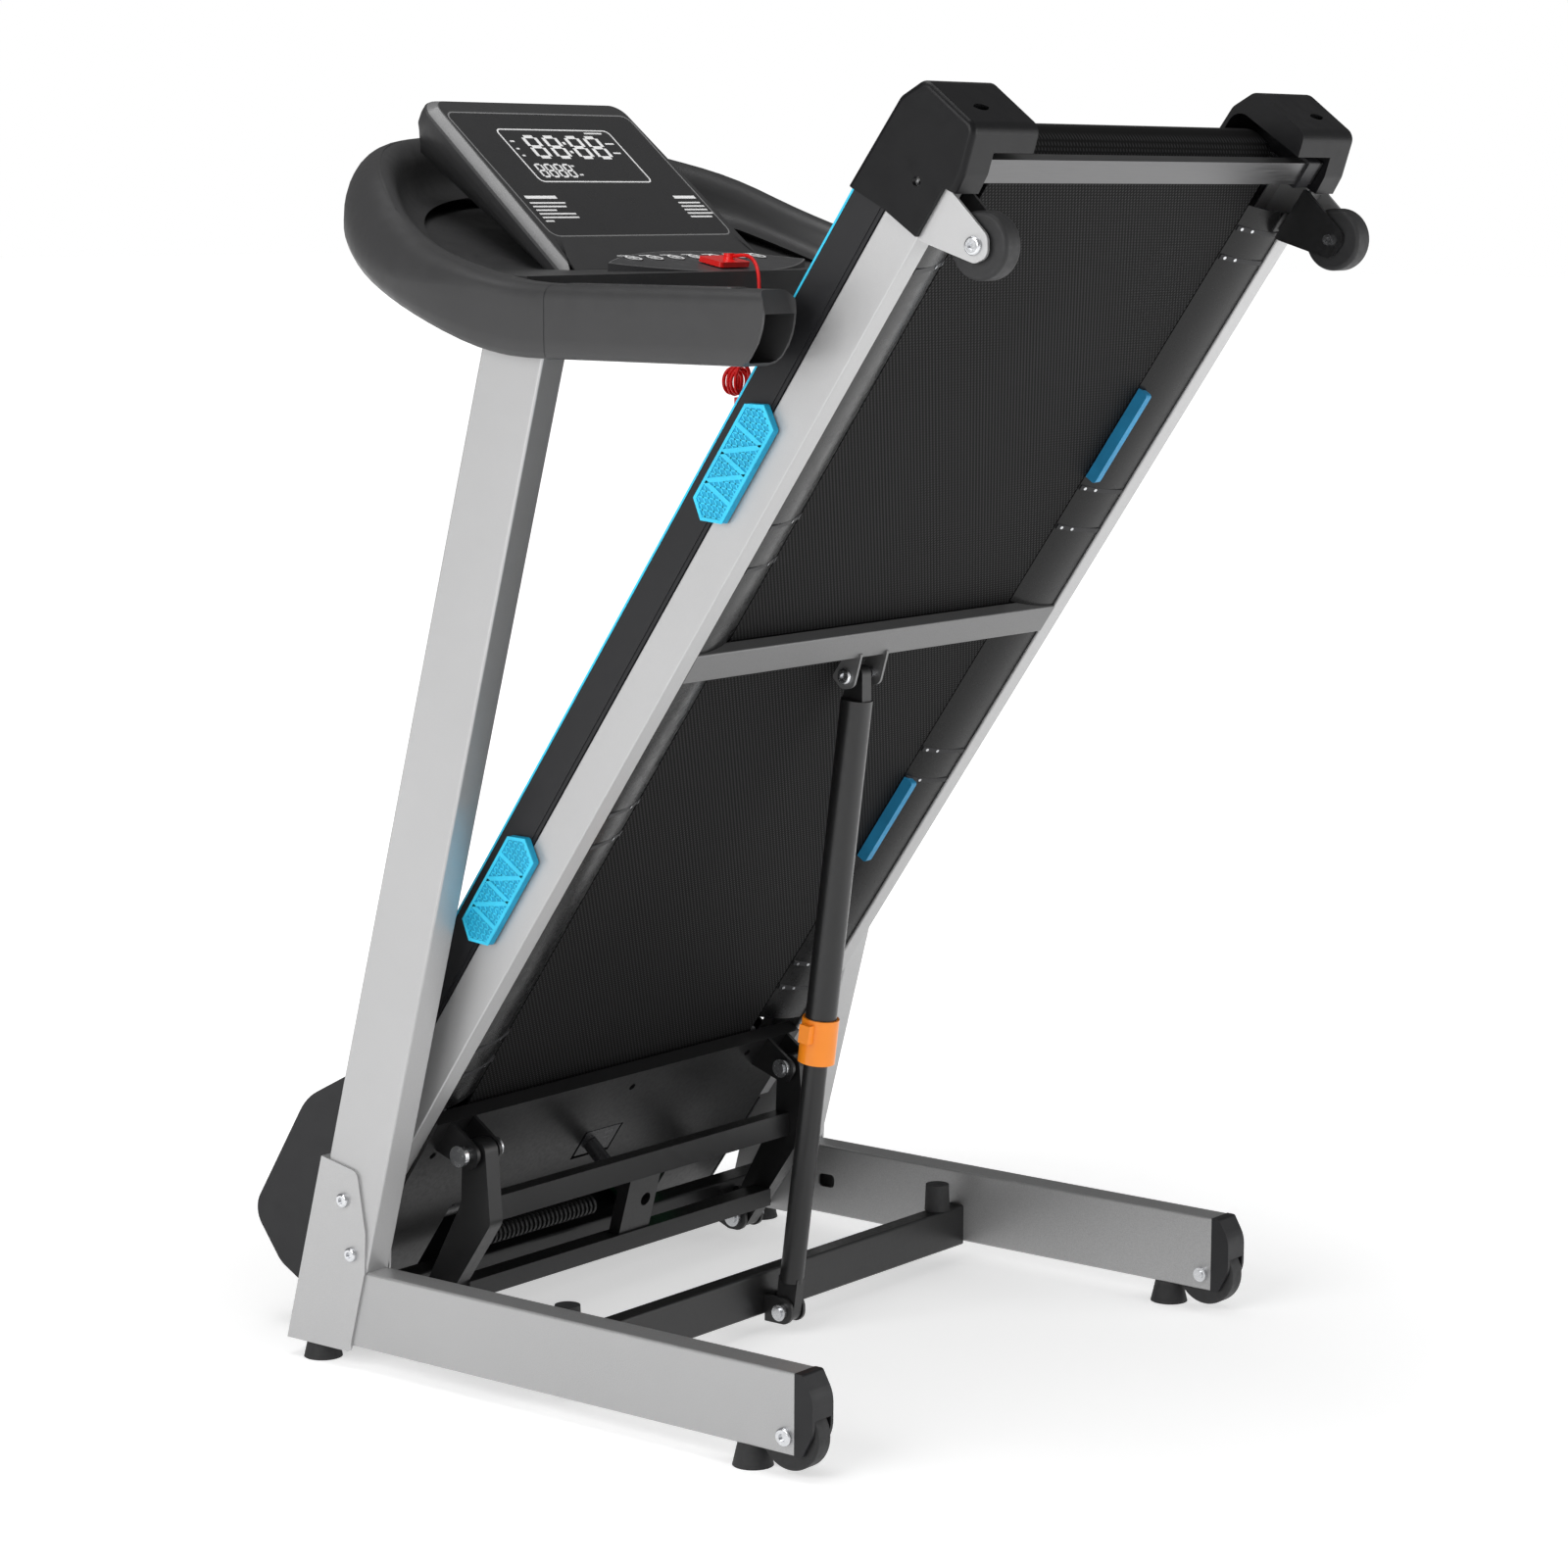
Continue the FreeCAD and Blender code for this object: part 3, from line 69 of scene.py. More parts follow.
# ---------------------------------------------------------------- material building
class Finish:
    """One procedural material, built node by node."""

    def __init__(self, name, **sockets):
        self.material = bpy.data.materials.new(name)
        self.material.use_nodes = True
        self.tree = self.material.node_tree
        self.shader = self.tree.nodes["Principled BSDF"]
        for key, value in sockets.items():
            self.set(self.shader, key.replace("_", " "), value)
        self.coords = self.tree.nodes.new("ShaderNodeTexCoord").outputs["Object"]

    def set(self, node, key, value):
        socket = node.inputs[key]
        if isinstance(value, bpy.types.NodeSocket):
            self.tree.links.new(value, socket)
        elif isinstance(value, (tuple, list)) and len(value) == 3 and socket.type == "RGBA":
            socket.default_value = (*value, 1.0)
        else:
            socket.default_value = value

    def add(self, kind, settings=None, out=0, **sockets):
        node = self.tree.nodes.new("ShaderNode" + kind)
        for key, value in (settings or {}).items():
            setattr(node, key, value)
        for key, value in sockets.items():
            numbered = key[0] == "i" and key[1:].isdigit()
            self.set(node, int(key[1:]) if numbered else key.replace("_", " "), value)
        return node.outputs[out]

    def math(self, operation, a, b=0.0, c=0.0):
        return self.add("Math", {"operation": operation}, i0=a, i1=b, i2=c)

    def noise(self, scale, detail=3.0, rough=0.55, vector=None):
        return self.add("TexNoise", Vector=vector or self.coords, Scale=scale, Detail=detail, Roughness=rough)

    def ramp(self, factor, *stops):
        node = self.tree.nodes.new("ShaderNodeValToRGB")
        self.tree.links.new(factor, node.inputs[0])
        marks = node.color_ramp.elements
        while len(marks) < len(stops):
            marks.new(0.5)
        for mark, (place, colour) in zip(marks, stops):
            mark.position = place
            mark.color = (*(colour if isinstance(colour, tuple) else (colour,) * 3), 1.0)
        return node.outputs[0]

    def span(self, factor, low, high, out_low, out_high):
        node = self.tree.nodes.new("ShaderNodeMapRange")
        for key, value in zip(range(5), (factor, low, high, out_low, out_high)):
            self.set(node, key, value)
        return node.outputs[0]

    def mix(self, factor, a, b):
        return self.add("MixRGB", Fac=factor, Color1=a, Color2=b)

    def tint(self, colour, factor):
        """Colour scaled by a grey factor."""
        return self.add("MixRGB", {"blend_type": "MULTIPLY"}, Fac=1.0, Color1=colour, Color2=factor)

    def stretched(self, scale):
        return self.add("Mapping", Vector=self.coords, Scale=scale)

    def split(self):
        node = self.tree.nodes.new("ShaderNodeSeparateXYZ")
        self.tree.links.new(self.coords, node.inputs[0])
        return node.outputs

    def deck_u(self):
        """Distance along the deck, in metres, at rest."""
        return self.add("VectorMath", {"operation": "DOT_PRODUCT"}, 1, i0=self.coords, i1=tuple(ALONG))

    def colour(self, value):
        self.set(self.shader, "Base Color", value)

    def rough(self, value):
        self.set(self.shader, "Roughness", value)

    def bump(self, height, strength, distance):
        normal = self.add("Bump", Height=height, Strength=strength, Distance=distance)
        self.set(self.shader, "Normal", normal)


def worn(finish, colour, amount=0.08, scale=9.0):
    """Slow colour drift of a handled surface."""
    return finish.tint(colour, finish.ramp(finish.noise(scale, 4.0), (0.3, 1.0 - amount), (0.7, 1.0)))


def silver_coat(name, speckle, base=0.50):
    """Silver powder coat with metal flakes."""
    f = Finish(name, Metallic=0.6, Coat_Weight=0.08, Coat_Roughness=0.3)
    flakes = f.ramp(f.noise(1300.0, 2.0, 0.7), (0.36, 1 - speckle), (0.64, 1 + speckle * 0.6))
    f.colour(f.tint(worn(f, (base, base, base * 1.005), 0.05, 5.0), flakes))
    f.rough(f.span(f.noise(900.0, 2.0), 0.3, 0.7, 0.36, 0.46))
    f.bump(f.noise(1500.0, 2.0), 0.12, 0.0003)
    return f.material


def moulded(name, colour, rough=0.5, grain=1400.0, depth=0.25, **sockets):
    """Moulded plastic with a fine spark-eroded grain."""
    f = Finish(name, **sockets)
    f.colour(worn(f, colour, 0.10))
    f.rough(f.span(f.noise(60.0, 3.0), 0.3, 0.7, rough - 0.05, rough + 0.06))
    f.bump(f.noise(grain, 2.0, 0.6), depth, 0.0002)
    return f.material


def coated_steel(name, colour, rough=0.38, metallic=0.3):
    """Dark powder-coated or blackened steel."""
    f = Finish(name, Metallic=metallic, Coat_Weight=0.15, Coat_Roughness=0.3)
    f.colour(worn(f, colour, 0.16, 14.0))
    f.rough(f.span(f.noise(240.0, 3.0), 0.3, 0.7, rough - 0.06, rough + 0.08))
    f.bump(f.noise(1100.0, 2.0), 0.2, 0.0002)
    return f.material


def bright_metal(name, colour, rough=0.22, scale=(4000.0, 40.0, 40.0)):
    """Plated, turned or brushed metal with fine tool lines."""
    f = Finish(name, Metallic=1.0)
    lines = f.noise(1.0, 3.0, 0.6, f.stretched(scale))
    f.colour(f.tint(colour, f.ramp(lines, (0.3, 0.82), (0.7, 1.0))))
    f.rough(f.span(lines, 0.3, 0.7, rough - 0.05, rough + 0.10))
    f.bump(lines, 0.08, 0.0001)
    return f.material


def belt_weave():
    """Black PVC belt: fine rows across it, each a line of small paler grains."""
    f = Finish("belt_weave", Specular_IOR_Level=0.10)
    u = f.deck_u()
    x = f.split()[0]
    row = f.math("SINE", f.math("MULTIPLY", u, 2 * math.pi / 0.0060))
    grain = f.math("SINE", f.math("MULTIPLY", x, 2 * math.pi / 0.0048))
    stagger = f.math("MULTIPLY", row, grain)
    ridge = f.math("ABSOLUTE", row)
    lift = f.span(f.math("ADD", f.math("MULTIPLY", ridge, 0.5), stagger), 0.2, 1.3, 0.0, 1.0)
    f.colour(f.tint(f.mix(lift, (0.002, 0.002, 0.002), (0.022, 0.022, 0.023)),
                    f.ramp(f.noise(7.0, 3.0), (0.3, 0.85), (0.7, 1.0))))
    f.rough(f.span(lift, 0.0, 1.0, 0.70, 0.50))
    f.bump(lift, 0.5, 0.0004)
    return f.material


def wood_board():
    """Fibreboard under a black phenolic film, its fibres just showing."""
    f = Finish("fibreboard", Specular_IOR_Level=0.2)
    f.colour(f.ramp(f.noise(420.0, 5.0, 0.7), (0.3, (0.010, 0.009, 0.008)), (0.8, (0.030, 0.026, 0.022))))
    f.rough(f.span(f.noise(80.0), 0.3, 0.7, 0.55, 0.75))
    f.bump(f.noise(900.0, 3.0), 0.3, 0.0003)
    return f.material


def rubber(name, colour, rough=0.7):
    f = Finish(name, Specular_IOR_Level=0.35)
    f.colour(worn(f, colour, 0.22, 30.0))
    f.rough(f.span(f.noise(150.0), 0.3, 0.7, rough - 0.08, rough + 0.08))
    f.bump(f.noise(700.0, 3.0), 0.3, 0.0003)
    return f.material


def circuit():
    """Green solder mask with pale pads."""
    f = Finish("solder_mask", Coat_Weight=0.4)
    cells = f.add("TexVoronoi", {"feature": "F1"}, Vector=f.coords, Scale=260.0)
    f.colour(f.mix(f.ramp(cells, (0.12, 1.0), (0.16, 0.0)), (0.012, 0.12, 0.045), (0.55, 0.5, 0.3)))
    f.rough(f.span(f.noise(90.0), 0.3, 0.7, 0.3, 0.45))
    return f.material


FINISHES = {
    "silver_steel": silver_coat("silver_coat", 0.05, 0.48),
    "black_steel": coated_steel("black_coat", (0.012, 0.012, 0.0125), 0.34, 0.2),
    "zinc_hardware": bright_metal("zinc_plate", (0.70, 0.71, 0.73), 0.20, (300.0, 300.0, 300.0)),
    "black_rubber": rubber("black_rubber_matt", (0.030, 0.030, 0.031)),
    "wheel_rubber": rubber("wheel_rubber_matt", (0.022, 0.022, 0.023), 0.55),
    "grey_plastic": moulded("charcoal_plastic", (0.036, 0.036, 0.037), 0.40, Specular_IOR_Level=0.42),
    "black_plastic": moulded("black_plastic_grain", (0.0125, 0.0125, 0.014), 0.42, Specular_IOR_Level=0.30),
    "display_gloss": moulded("smoked_gloss", (0.024, 0.024, 0.025), 0.30, depth=0.02),
    "circuit_green": circuit(),
    "key_plastic": moulded("key_plastic_satin", (0.045, 0.045, 0.047), 0.4),
    "red_plastic": moulded("red_plastic_satin", (0.80, 0.010, 0.008), 0.3, Coat_Weight=0.3),
    "red_cord": rubber("red_cord_sheath", (0.72, 0.006, 0.006), 0.5),
    "orange_plastic": moulded("orange_plastic_satin", (0.95, 0.27, 0.012), 0.32),
    "blue_silicone": rubber("blue_silicone_matt", (0.012, 0.55, 0.80), 0.5),
    "board": wood_board(),
    "belt": belt_weave(),
    "aluminium_trim": bright_metal("satin_aluminium", (0.62, 0.62, 0.63), 0.28, (30.0, 900.0, 900.0)),
    "roller_steel": bright_metal("turned_steel", (0.55, 0.56, 0.57), 0.22, (2600.0, 60.0, 60.0)),
    "motor_black": coated_steel("motor_enamel", (0.030, 0.030, 0.033), 0.3),
}


def cover_plastic():
    """Satin grey foot rails whose curved inner sheets are made glossy and painted near-black as painted
    shade.
    """
    f = Finish("cover_with_painted_shade", Specular_IOR_Level=0.30)
    out = f.add("VectorMath", {"operation": "DOT_PRODUCT"}, 1, i0=f.coords, i1=tuple(OUT))
    height = f.math("SUBTRACT", out, DECK_ORIGIN.dot(OUT))
    # Below about 16 mm above the deck the colour drops to near-black: painted shade on the curved inner
    # sheets.
    inner = f.span(height, 0.0160, 0.0175, 1.0, 0.0)
    f.colour(f.mix(inner, worn(f, (0.0125, 0.0125, 0.014), 0.10), (0.0022, 0.0022, 0.0024)))
    polish = f.math("MULTIPLY", inner, -0.55)
    f.rough(f.span(f.math("ADD", f.noise(60.0, 3.0), polish), -0.2, 0.7, 0.22, 0.48))
    f.bump(f.noise(1400.0, 2.0, 0.6), 0.15, 0.0002)
    return f.material


dark_cap = moulded("cap_plastic_grain", (0.0055, 0.0055, 0.0062), 0.34, Specular_IOR_Level=0.20)
SPECIAL = {
    "rear_end_cap_left": dark_cap,
    "rear_end_cap_right": dark_cap,
    "side_covers": cover_plastic(),
    "base_rail_left": silver_coat("base_coat_left", 0.16, 0.44),
    # The right rail's coat is painted a little darker than the left's: painted shade from the deck.
    "base_rail_right": silver_coat("base_coat_right_shaded", 0.16, 0.40),
    "mid_crossbar": silver_coat("gunmetal_coat", 0.08, 0.17),
    "rear_tie_bar": bright_metal("tie_bar_aluminium", (0.17, 0.17, 0.172), 0.34, (30.0, 900.0, 900.0)),
}
for name, node in NODES.items():
    for place in node.material_slots:
        place.material = SPECIAL.get(name) or FINISHES[place.material.name.split(".")[0]]


# ---------------------------------------------------------------- camera, floor and light
CAMERA_PLACE = (-2.9803, -2.4299 + SHIFT, 1.1085)
CAMERA_DIP, CAMERA_TURN, CAMERA_ROLL = 8.55, -51.945, 0.26          # degrees
LENS, SENSOR = 92.18, 36.0                                          # mm


def add_camera():
    data = bpy.data.cameras.new("camera")
    data.sensor_width, data.lens = SENSOR, LENS
    data.clip_end = 90.0
    camera = bpy.data.objects.new("camera", data)
    aim = Euler((math.radians(90 - CAMERA_DIP), 0, math.radians(CAMERA_TURN))).to_matrix().to_4x4()
    camera.matrix_world = (Matrix.Translation(CAMERA_PLACE) @ aim
                           @ Matrix.Rotation(math.radians(CAMERA_ROLL), 4, "Z"))
    bpy.context.collection.objects.link(camera)
    bpy.context.scene.camera = camera


def add_floor():
    """Wide white floor that glows a little more with distance."""
    mesh = bpy.data.meshes.new("floor")
    half = 40.0
    corners = [(-half, -half, 0), (half, -half, 0), (half, half, 0), (-half, half, 0)]
    mesh.from_pydata(corners, [], [(0, 1, 2, 3)])
    floor = bpy.data.objects.new("floor", mesh)
    bpy.context.collection.objects.link(floor)
    f = Finish("studio_floor", Emission_Strength=1.0)
    reach = f.add("VectorMath", {"operation": "LENGTH"}, 1, i0=f.coords)
    f.colour(f.ramp(f.noise(0.6, 2.0), (0.3, 0.78), (0.7, 0.80)))
    f.set(f.shader, "Emission Color", f.ramp(f.math("DIVIDE", reach, 4.0), (0.15, 0.50), (0.7, 1.0)))
    f.rough(f.span(f.noise(3.0), 0.3, 0.7, 0.75, 0.85))
    mesh.materials.append(f.material)


def add_light(name, place, target, size, power):
    data = bpy.data.lights.new(name, "AREA")
    data.shape, data.size, data.size_y = "RECTANGLE", size[0], size[1]
    data.energy = power
    light = bpy.data.objects.new(name, data)
    light.location = place
    light.rotation_euler = (Vector(target) - Vector(place)).to_track_quat("-Z", "Y").to_euler()
    bpy.context.collection.objects.link(light)


def add_world():
    """White studio to the eye; as light, pale to the left and behind, dim ahead and to the right."""
    world = bpy.data.worlds.new("studio")
    bpy.context.scene.world = world
    world.use_nodes = True
    tree = world.node_tree
    back = tree.nodes["Background"]
    place = tree.nodes.new("ShaderNodeTexCoord")
    ahead = tree.nodes.new("ShaderNodeVectorMath")
    ahead.operation = "DOT_PRODUCT"
    ahead.inputs[1].default_value = (0.66, 0.70, 0.28)
    tree.links.new(place.outputs["Generated"], ahead.inputs[0])
    glow = tree.nodes.new("ShaderNodeMapRange")
    tree.links.new(ahead.outputs["Value"], glow.inputs[0])
    for socket, value in zip(list(glow.inputs)[1:5], (-0.6, 0.9, 0.46, 0.13)):
        socket.default_value = value
    seen = tree.nodes.new("ShaderNodeLightPath").outputs["Is Camera Ray"]
    pick = tree.nodes.new("ShaderNodeMix")
    tree.links.new(seen, pick.inputs[0])
    tree.links.new(glow.outputs[0], pick.inputs[2])
    pick.inputs[3].default_value = 1.0
    tree.links.new(pick.outputs[0], back.inputs["Strength"])
    back.inputs["Color"].default_value = (1, 1, 1, 1)


add_camera()
add_floor()
add_world()
add_light("left_key", (-3.4, 0.2, 2.0), (0, 0.1, 0.5), (2.4, 2.0), 58.0)
add_light("rear_fill", (1.6, -3.2, 1.1), (0, 0.1, 0.6), (2.4, 1.8), 40.0)
add_light("overhead", (-0.3, 0.2, 3.6), (0, 0.1, 0.0), (2.0, 2.0), 44.0)
bpy.context.scene.view_settings.view_transform = "Standard"


# ---------------------------------------------------------------- piece building
def spline_curve(name, points, radius):
    """Round tube on one smooth NURBS line."""
    data = bpy.data.curves.new(name, "CURVE")
    data.dimensions = "3D"
    data.resolution_u, data.bevel_resolution = 8, 4
    data.bevel_depth = radius
    data.use_fill_caps = True
    spline = data.splines.new("NURBS")
    spline.points.add(len(points) - 1)
    for point, place in zip(spline.points, points):
        point.co = (*place, 1.0)
    spline.order_u = 3
    spline.use_endpoint_u = True
    piece = bpy.data.objects.new(name, data)
    bpy.context.collection.objects.link(piece)
    return piece


def mesh_piece(name, body, material, corners, faces, sharp=35.0):
    """Mesh object that rides on a body; edges bent more than `sharp` degrees stay crisp."""
    mesh = bpy.data.meshes.new(name)
    mesh.from_pydata([tuple(c) for c in corners], [], faces)
    shape = bmesh.new()
    shape.from_mesh(mesh)
    bmesh.ops.recalc_face_normals(shape, faces=shape.faces)
    for face in shape.faces:
        face.smooth = True
    shape.to_mesh(mesh)
    shape.free()
    mesh.set_sharp_from_angle(angle=math.radians(sharp))
    mesh.materials.append(material)
    piece = bpy.data.objects.new(name, mesh)
    bpy.context.collection.objects.link(piece)
    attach(piece, body)
    return piece


class Shapes:
    """Collects closed solids drawn on a surface frame: place(a, b, height) gives a point."""

    def __init__(self, place):
        self.place, self.corners, self.faces = place, [], []

    def loft(self, rings, capped=True):
        """Closed skin over rings of equal length."""
        start, count = len(self.corners), len(rings[0])
        for ring in rings:
            self.corners += ring
        for k in range(len(rings) - 1):
            low, high = start + k * count, start + (k + 1) * count
            for i in range(count):
                j = (i + 1) % count
                self.faces.append((low + i, low + j, high + j, high + i))
        if capped:
            self.faces.append(tuple(start + i for i in reversed(range(count))))
            last = start + (len(rings) - 1) * count
            self.faces.append(tuple(last + i for i in range(count)))
        return self

    def plate(self, outline, low, high, shrink=0.0):
        """Flat solid with an outline, its top face drawn in by `shrink`."""
        middle = [sum(p[k] for p in outline) / len(outline) for k in (0, 1)]
        reach = max(math.hypot(p[0] - middle[0], p[1] - middle[1]) for p in outline)
        ratio = 1 - shrink / reach
        top = [(middle[0] + (a - middle[0]) * ratio, middle[1] + (b - middle[1]) * ratio) for a, b in outline]
        return self.loft([[self.place(a, b, low) for a, b in outline],
                          [self.place(a, b, high) for a, b in top]])

    def bar(self, start, end, width, low, high):
        """Straight rib between two points."""
        run = Vector((end[0] - start[0], end[1] - start[1]))
        side = Vector((-run.y, run.x)).normalized() * width / 2
        outline = [(start[0] + side.x, start[1] + side.y), (start[0] - side.x, start[1] - side.y),
                   (end[0] - side.x, end[1] - side.y), (end[0] + side.x, end[1] + side.y)]
        return self.plate(outline, low, high)

    def band(self, outline, width, low, high):
        """Closed raised line that follows an outline."""
        inner = inset(outline, width)
        count, start = len(outline), len(self.corners)
        for line, height in ((outline, low), (outline, high), (inner, high), (inner, low)):
            self.corners += [self.place(a, b, height) for a, b in line]
        for k in range(4):
            for i in range(count):
                j = (i + 1) % count
                low_row, high_row = start + k * count, start + (k + 1) % 4 * count
                self.faces.append((low_row + i, low_row + j, high_row + j, high_row + i))
        return self

    def piece(self, name, body, material, slot=None, sharp=35.0):
        return mesh_piece(name, body, material, self.corners, self.faces, sharp)


def inset(outline, width):
    """Outline moved in by a width, corner by corner (outlines run anticlockwise)."""
    moved = []
    for before, here, after in zip(outline[-1:] + outline[:-1], outline, outline[1:] + outline[:1]):
        a = Vector((here[0] - before[0], here[1] - before[1]))
        b = Vector((after[0] - here[0], after[1] - here[1]))
        a = a.normalized() if a.length > 1e-6 else b.normalized()
        b = b.normalized() if b.length > 1e-6 else a
        normal = Vector((-a.y - b.y, a.x + b.x))
        normal = normal.normalized()
        stretch = 1 / max(0.4, normal.dot(Vector((-a.y, a.x))))
        moved.append((here[0] + normal.x * width * stretch, here[1] + normal.y * width * stretch))
    return moved


def rounded(corners, radius, steps=6):
    """Anticlockwise polygon with every corner rounded; radius is one number or one per corner."""
    radii = radius if isinstance(radius, (list, tuple)) else [radius] * len(corners)
    outline = []
    for before, here, after, r in zip(corners[-1:] + corners[:-1], corners, corners[1:] + corners[:1], radii):
        here = Vector(here)
        back, on = (Vector(before) - here).normalized(), (Vector(after) - here).normalized()
        half = back.angle(on) / 2
        reach = r / math.tan(half)
        centre = here + (back + on).normalized() * (r / math.sin(half))
        start, end = here + back * reach - centre, here + on * reach - centre
        turn = start.angle_signed(end)
        for i in range(steps + 1):
            spoke = start.copy()
            spoke.rotate(Matrix.Rotation(-turn * i / steps, 2))
            outline.append(tuple(centre + spoke))
    return outline


# ---------------------------------------------------------------- cord of the safety key
CORD_RADIUS = 0.00175
CORD_POINTS = [(8, -27.9, 1037.5), (7, -40, 1039), (1, -55, 1036.5), (-8, -69, 1027.5), (-14, -76, 1010),
               (-18, -77.3, 989), (-22.5, -75, 969), (-26.5, -69.5, 953), (-29.4, -65, 939)]
HANK_X, HANK_Z = -43.0, 923.0


def hank_points():
    """Three and a third loose turns, unequal in size and lean, then the tail that ends at the clip."""
    steps, pitch, first_y, count = 12, 4.4, -64.5, 41
    sizes = [(12.8, 12.0), (12.1, 12.9), (13.3, 11.9), (12.8, 12.3)]
    points = []
    for i in range(count):
        turn = i / steps
        wide, tall = sizes[int(turn)]
        angle = 2 * math.pi * turn
        tilt = 0.30 * math.sin(2.4 * turn)
        across, down = wide * math.cos(angle), tall * math.sin(angle)
        points.append(at(HANK_X + across * math.cos(tilt) - down * math.sin(tilt), first_y - pitch * turn,
                         HANK_Z - across * math.sin(tilt) - down * math.cos(tilt)))
    tail = [(-13.0, -80.6, 921), (-13.4, -81.9, 929.5), (-9.5, -83.2, 938), (-0.5, -84.1, 938),
            (4.0, -84.5, 930), (2.6, -84.4, 920), (0.8, -82.6, 912), (0.0, -79.8, 905.5), (0.0, -78.3, 901)]
    return points + [at(HANK_X + x, y, z) for x, y, z in tail]


cord = spline_curve("red_cord_line", [at(*p) for p in CORD_POINTS] + hank_points(), CORD_RADIUS)
cord.data.materials.append(FINISHES["red_cord"])
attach(cord, "safety_key")
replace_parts(cord, "safety_cord", "safety_cord_hank")


# ---------------------------------------------------------------- handrail loop
RING_R, RING_Y, RING_END = 369.7, -39.0, -362.0
RAIL_LINE = [(-440, 955, 1019), (-95, 955, 1019), (-59, 958, 1023), (-24, 966.5, 1030), (20, 981.5, 1040),
             (70, 999, 1055), (132, 1022, 1082), (186, 1046, 1112), (260, 1072, 1140), (331, 1088, 1154)]
TRAY_LINE = [(-440, 1024), (90, 1026), (180, 1062), (330, 1100)]
RAIL_MIDDLE = 22.5                   # middle of the handrail's width
RAIL_SKIN, MOUTH_DEPTH, MOUTH_TOP = 2.8, 70.0, 999.0
ARM_TOP, SEAM_Y = 1019.0, -121.0


def along(table, y, column=1):
    """Value from a table of (y, ...) rows, between its rows."""
    for low, high in zip(table, table[1:]):
        if y <= high[0]:
            share = max(0.0, (y - low[0]) / (high[0] - low[0]))
            return low[column] + share * (high[column] - low[column])
    return table[-1][column]


def ease(value, low, high):
    share = min(1.0, max(0.0, (value - low) / (high - low)))
    return share * share * (3 - 2 * share)


def rail_place(way, w):
    """Plan point of the loop: way 0..1 on the right arm, 1..2 round the front, 2..3 on the left arm."""
    if 1 <= way <= 2:
        turn = math.pi * (way - 1)
        return (RING_R - w) * math.cos(turn), RING_Y + (RING_R - w) * math.sin(turn)
    if way < 1:
        return RING_R - w, RING_END + way * (RING_Y - RING_END)
    return w - RING_R, RING_Y + (way - 2) * (RING_END - RING_Y)


def rail_section(way, skin=0.0):
    """(w, z) points round the handrail: w runs inward from the outer wall."""
    y = rail_place(way, 20.0)[1]
    low = sum(along(RAIL_LINE, y + d) for d in (-16, 0, 16)) / 3
    top = sum(along(RAIL_LINE, y + d, 2) for d in (-16, 0, 16)) / 3
    q = ease(y, -60.0, 170.0)
    tall, wide = 13 + 37 * q, 15 + 19 * q
    inner, inner_tall = 45 + 5 * q, 9 + 14 * q
    points = [(6.0, low), (2.0, low + 1.6), (0.4, low + 6.0)]
    wall_top = top - tall
    points += [(0.0, low + 6.0 + (wall_top - low - 6.0) * i / 4) for i in range(1, 5)]
    points += [(wide * (1 - math.cos(t)), wall_top + tall * math.sin(t))
               for t in (math.pi / 2 * i / 9 for i in range(1, 10))]
    flat = inner - inner_tall * 0.8
    points += [(wide + (flat - wide) * i / 3, top) for i in (1, 2)]
    points += [(flat + inner_tall * 0.8 * math.sin(t), top - inner_tall * (1 - math.cos(t)))
               for t in (math.pi / 2 * i / 6 for i in range(0, 7))]
    foot_w = inner + 25 * q
    tray = along(TRAY_LINE, y) - 3.0 if y > -66 else low + 8
    tray = min(tray, top - inner_tall - 2)
    wall = top - inner_tall
    for i in range(1, 6):
        fall = 1 - (1 - i / 5) ** (1 + 0.5 * q)
        points.append((inner + (foot_w - inner) * (i / 5) ** 2.2, wall + (tray - wall) * fall))
    points += [(45.0, min(tray - 2, low + 8)), (44.0, low + 2.0), (39.0, low)]
    if not skin:
        return points
    middle_z = (low + top) / 2
    return [(w + skin * (1 if w < RAIL_MIDDLE else -1), z + skin * (1 if z < middle_z else -1))
            for w, z in points]


def rail_end_y(z):
    """Rear edge of an open arm end: upright above, swept forward below."""
    below = min(1.0, max(0.0, (1003.0 - z) / 50.0))
    return RING_END + 36.0 * (1 - math.sqrt(1 - below * below)) + 10.0 * ease(z, 1004.0, 1021.0) ** 2


def handrail():
    """Hollow loop with open arm ends."""
    ways = [0.0, 0.02, 0.06, 0.12, 0.2, 0.35, 0.5, 0.62, 0.74, 0.82, 0.88, 0.92, 0.96]
    ways += [1 + i / 56 for i in range(57)]
    ways += [3 - way for way in reversed(ways[:13])]
    rings = []

    def ring(way, skin=0.0, depth=0.0):
        placed = []
        for w, z in rail_section(way, skin):
            z = min(z, MOUTH_TOP) if skin else z
            x, y = rail_place(way, w)
            if way in (0.0, 3.0):
                y = rail_end_y(z) + depth
            placed.append(at(x, max(y, rail_end_y(z)), z))
        return placed

    rings.append(ring(0.0, RAIL_SKIN, MOUTH_DEPTH))
    rings.append(ring(0.0, RAIL_SKIN))
    rings += [ring(way) for way in ways]
    rings.append(ring(3.0, RAIL_SKIN))
    rings.append(ring(3.0, RAIL_SKIN, MOUTH_DEPTH))
    shell = Shapes(None).loft(rings)
    return shell.piece("handrail_loop", "base", FINISHES["grey_plastic"], "grey_plastic", 50.0)


loop = handrail()
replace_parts(loop, "handrail_shell")


def rail_top(side):
    """Frame on the flat top of an arm: place(y, w, height), w inward from the outer wall."""
    return lambda y, w, height: at(side * (RING_R - w), y, ARM_TOP + height)


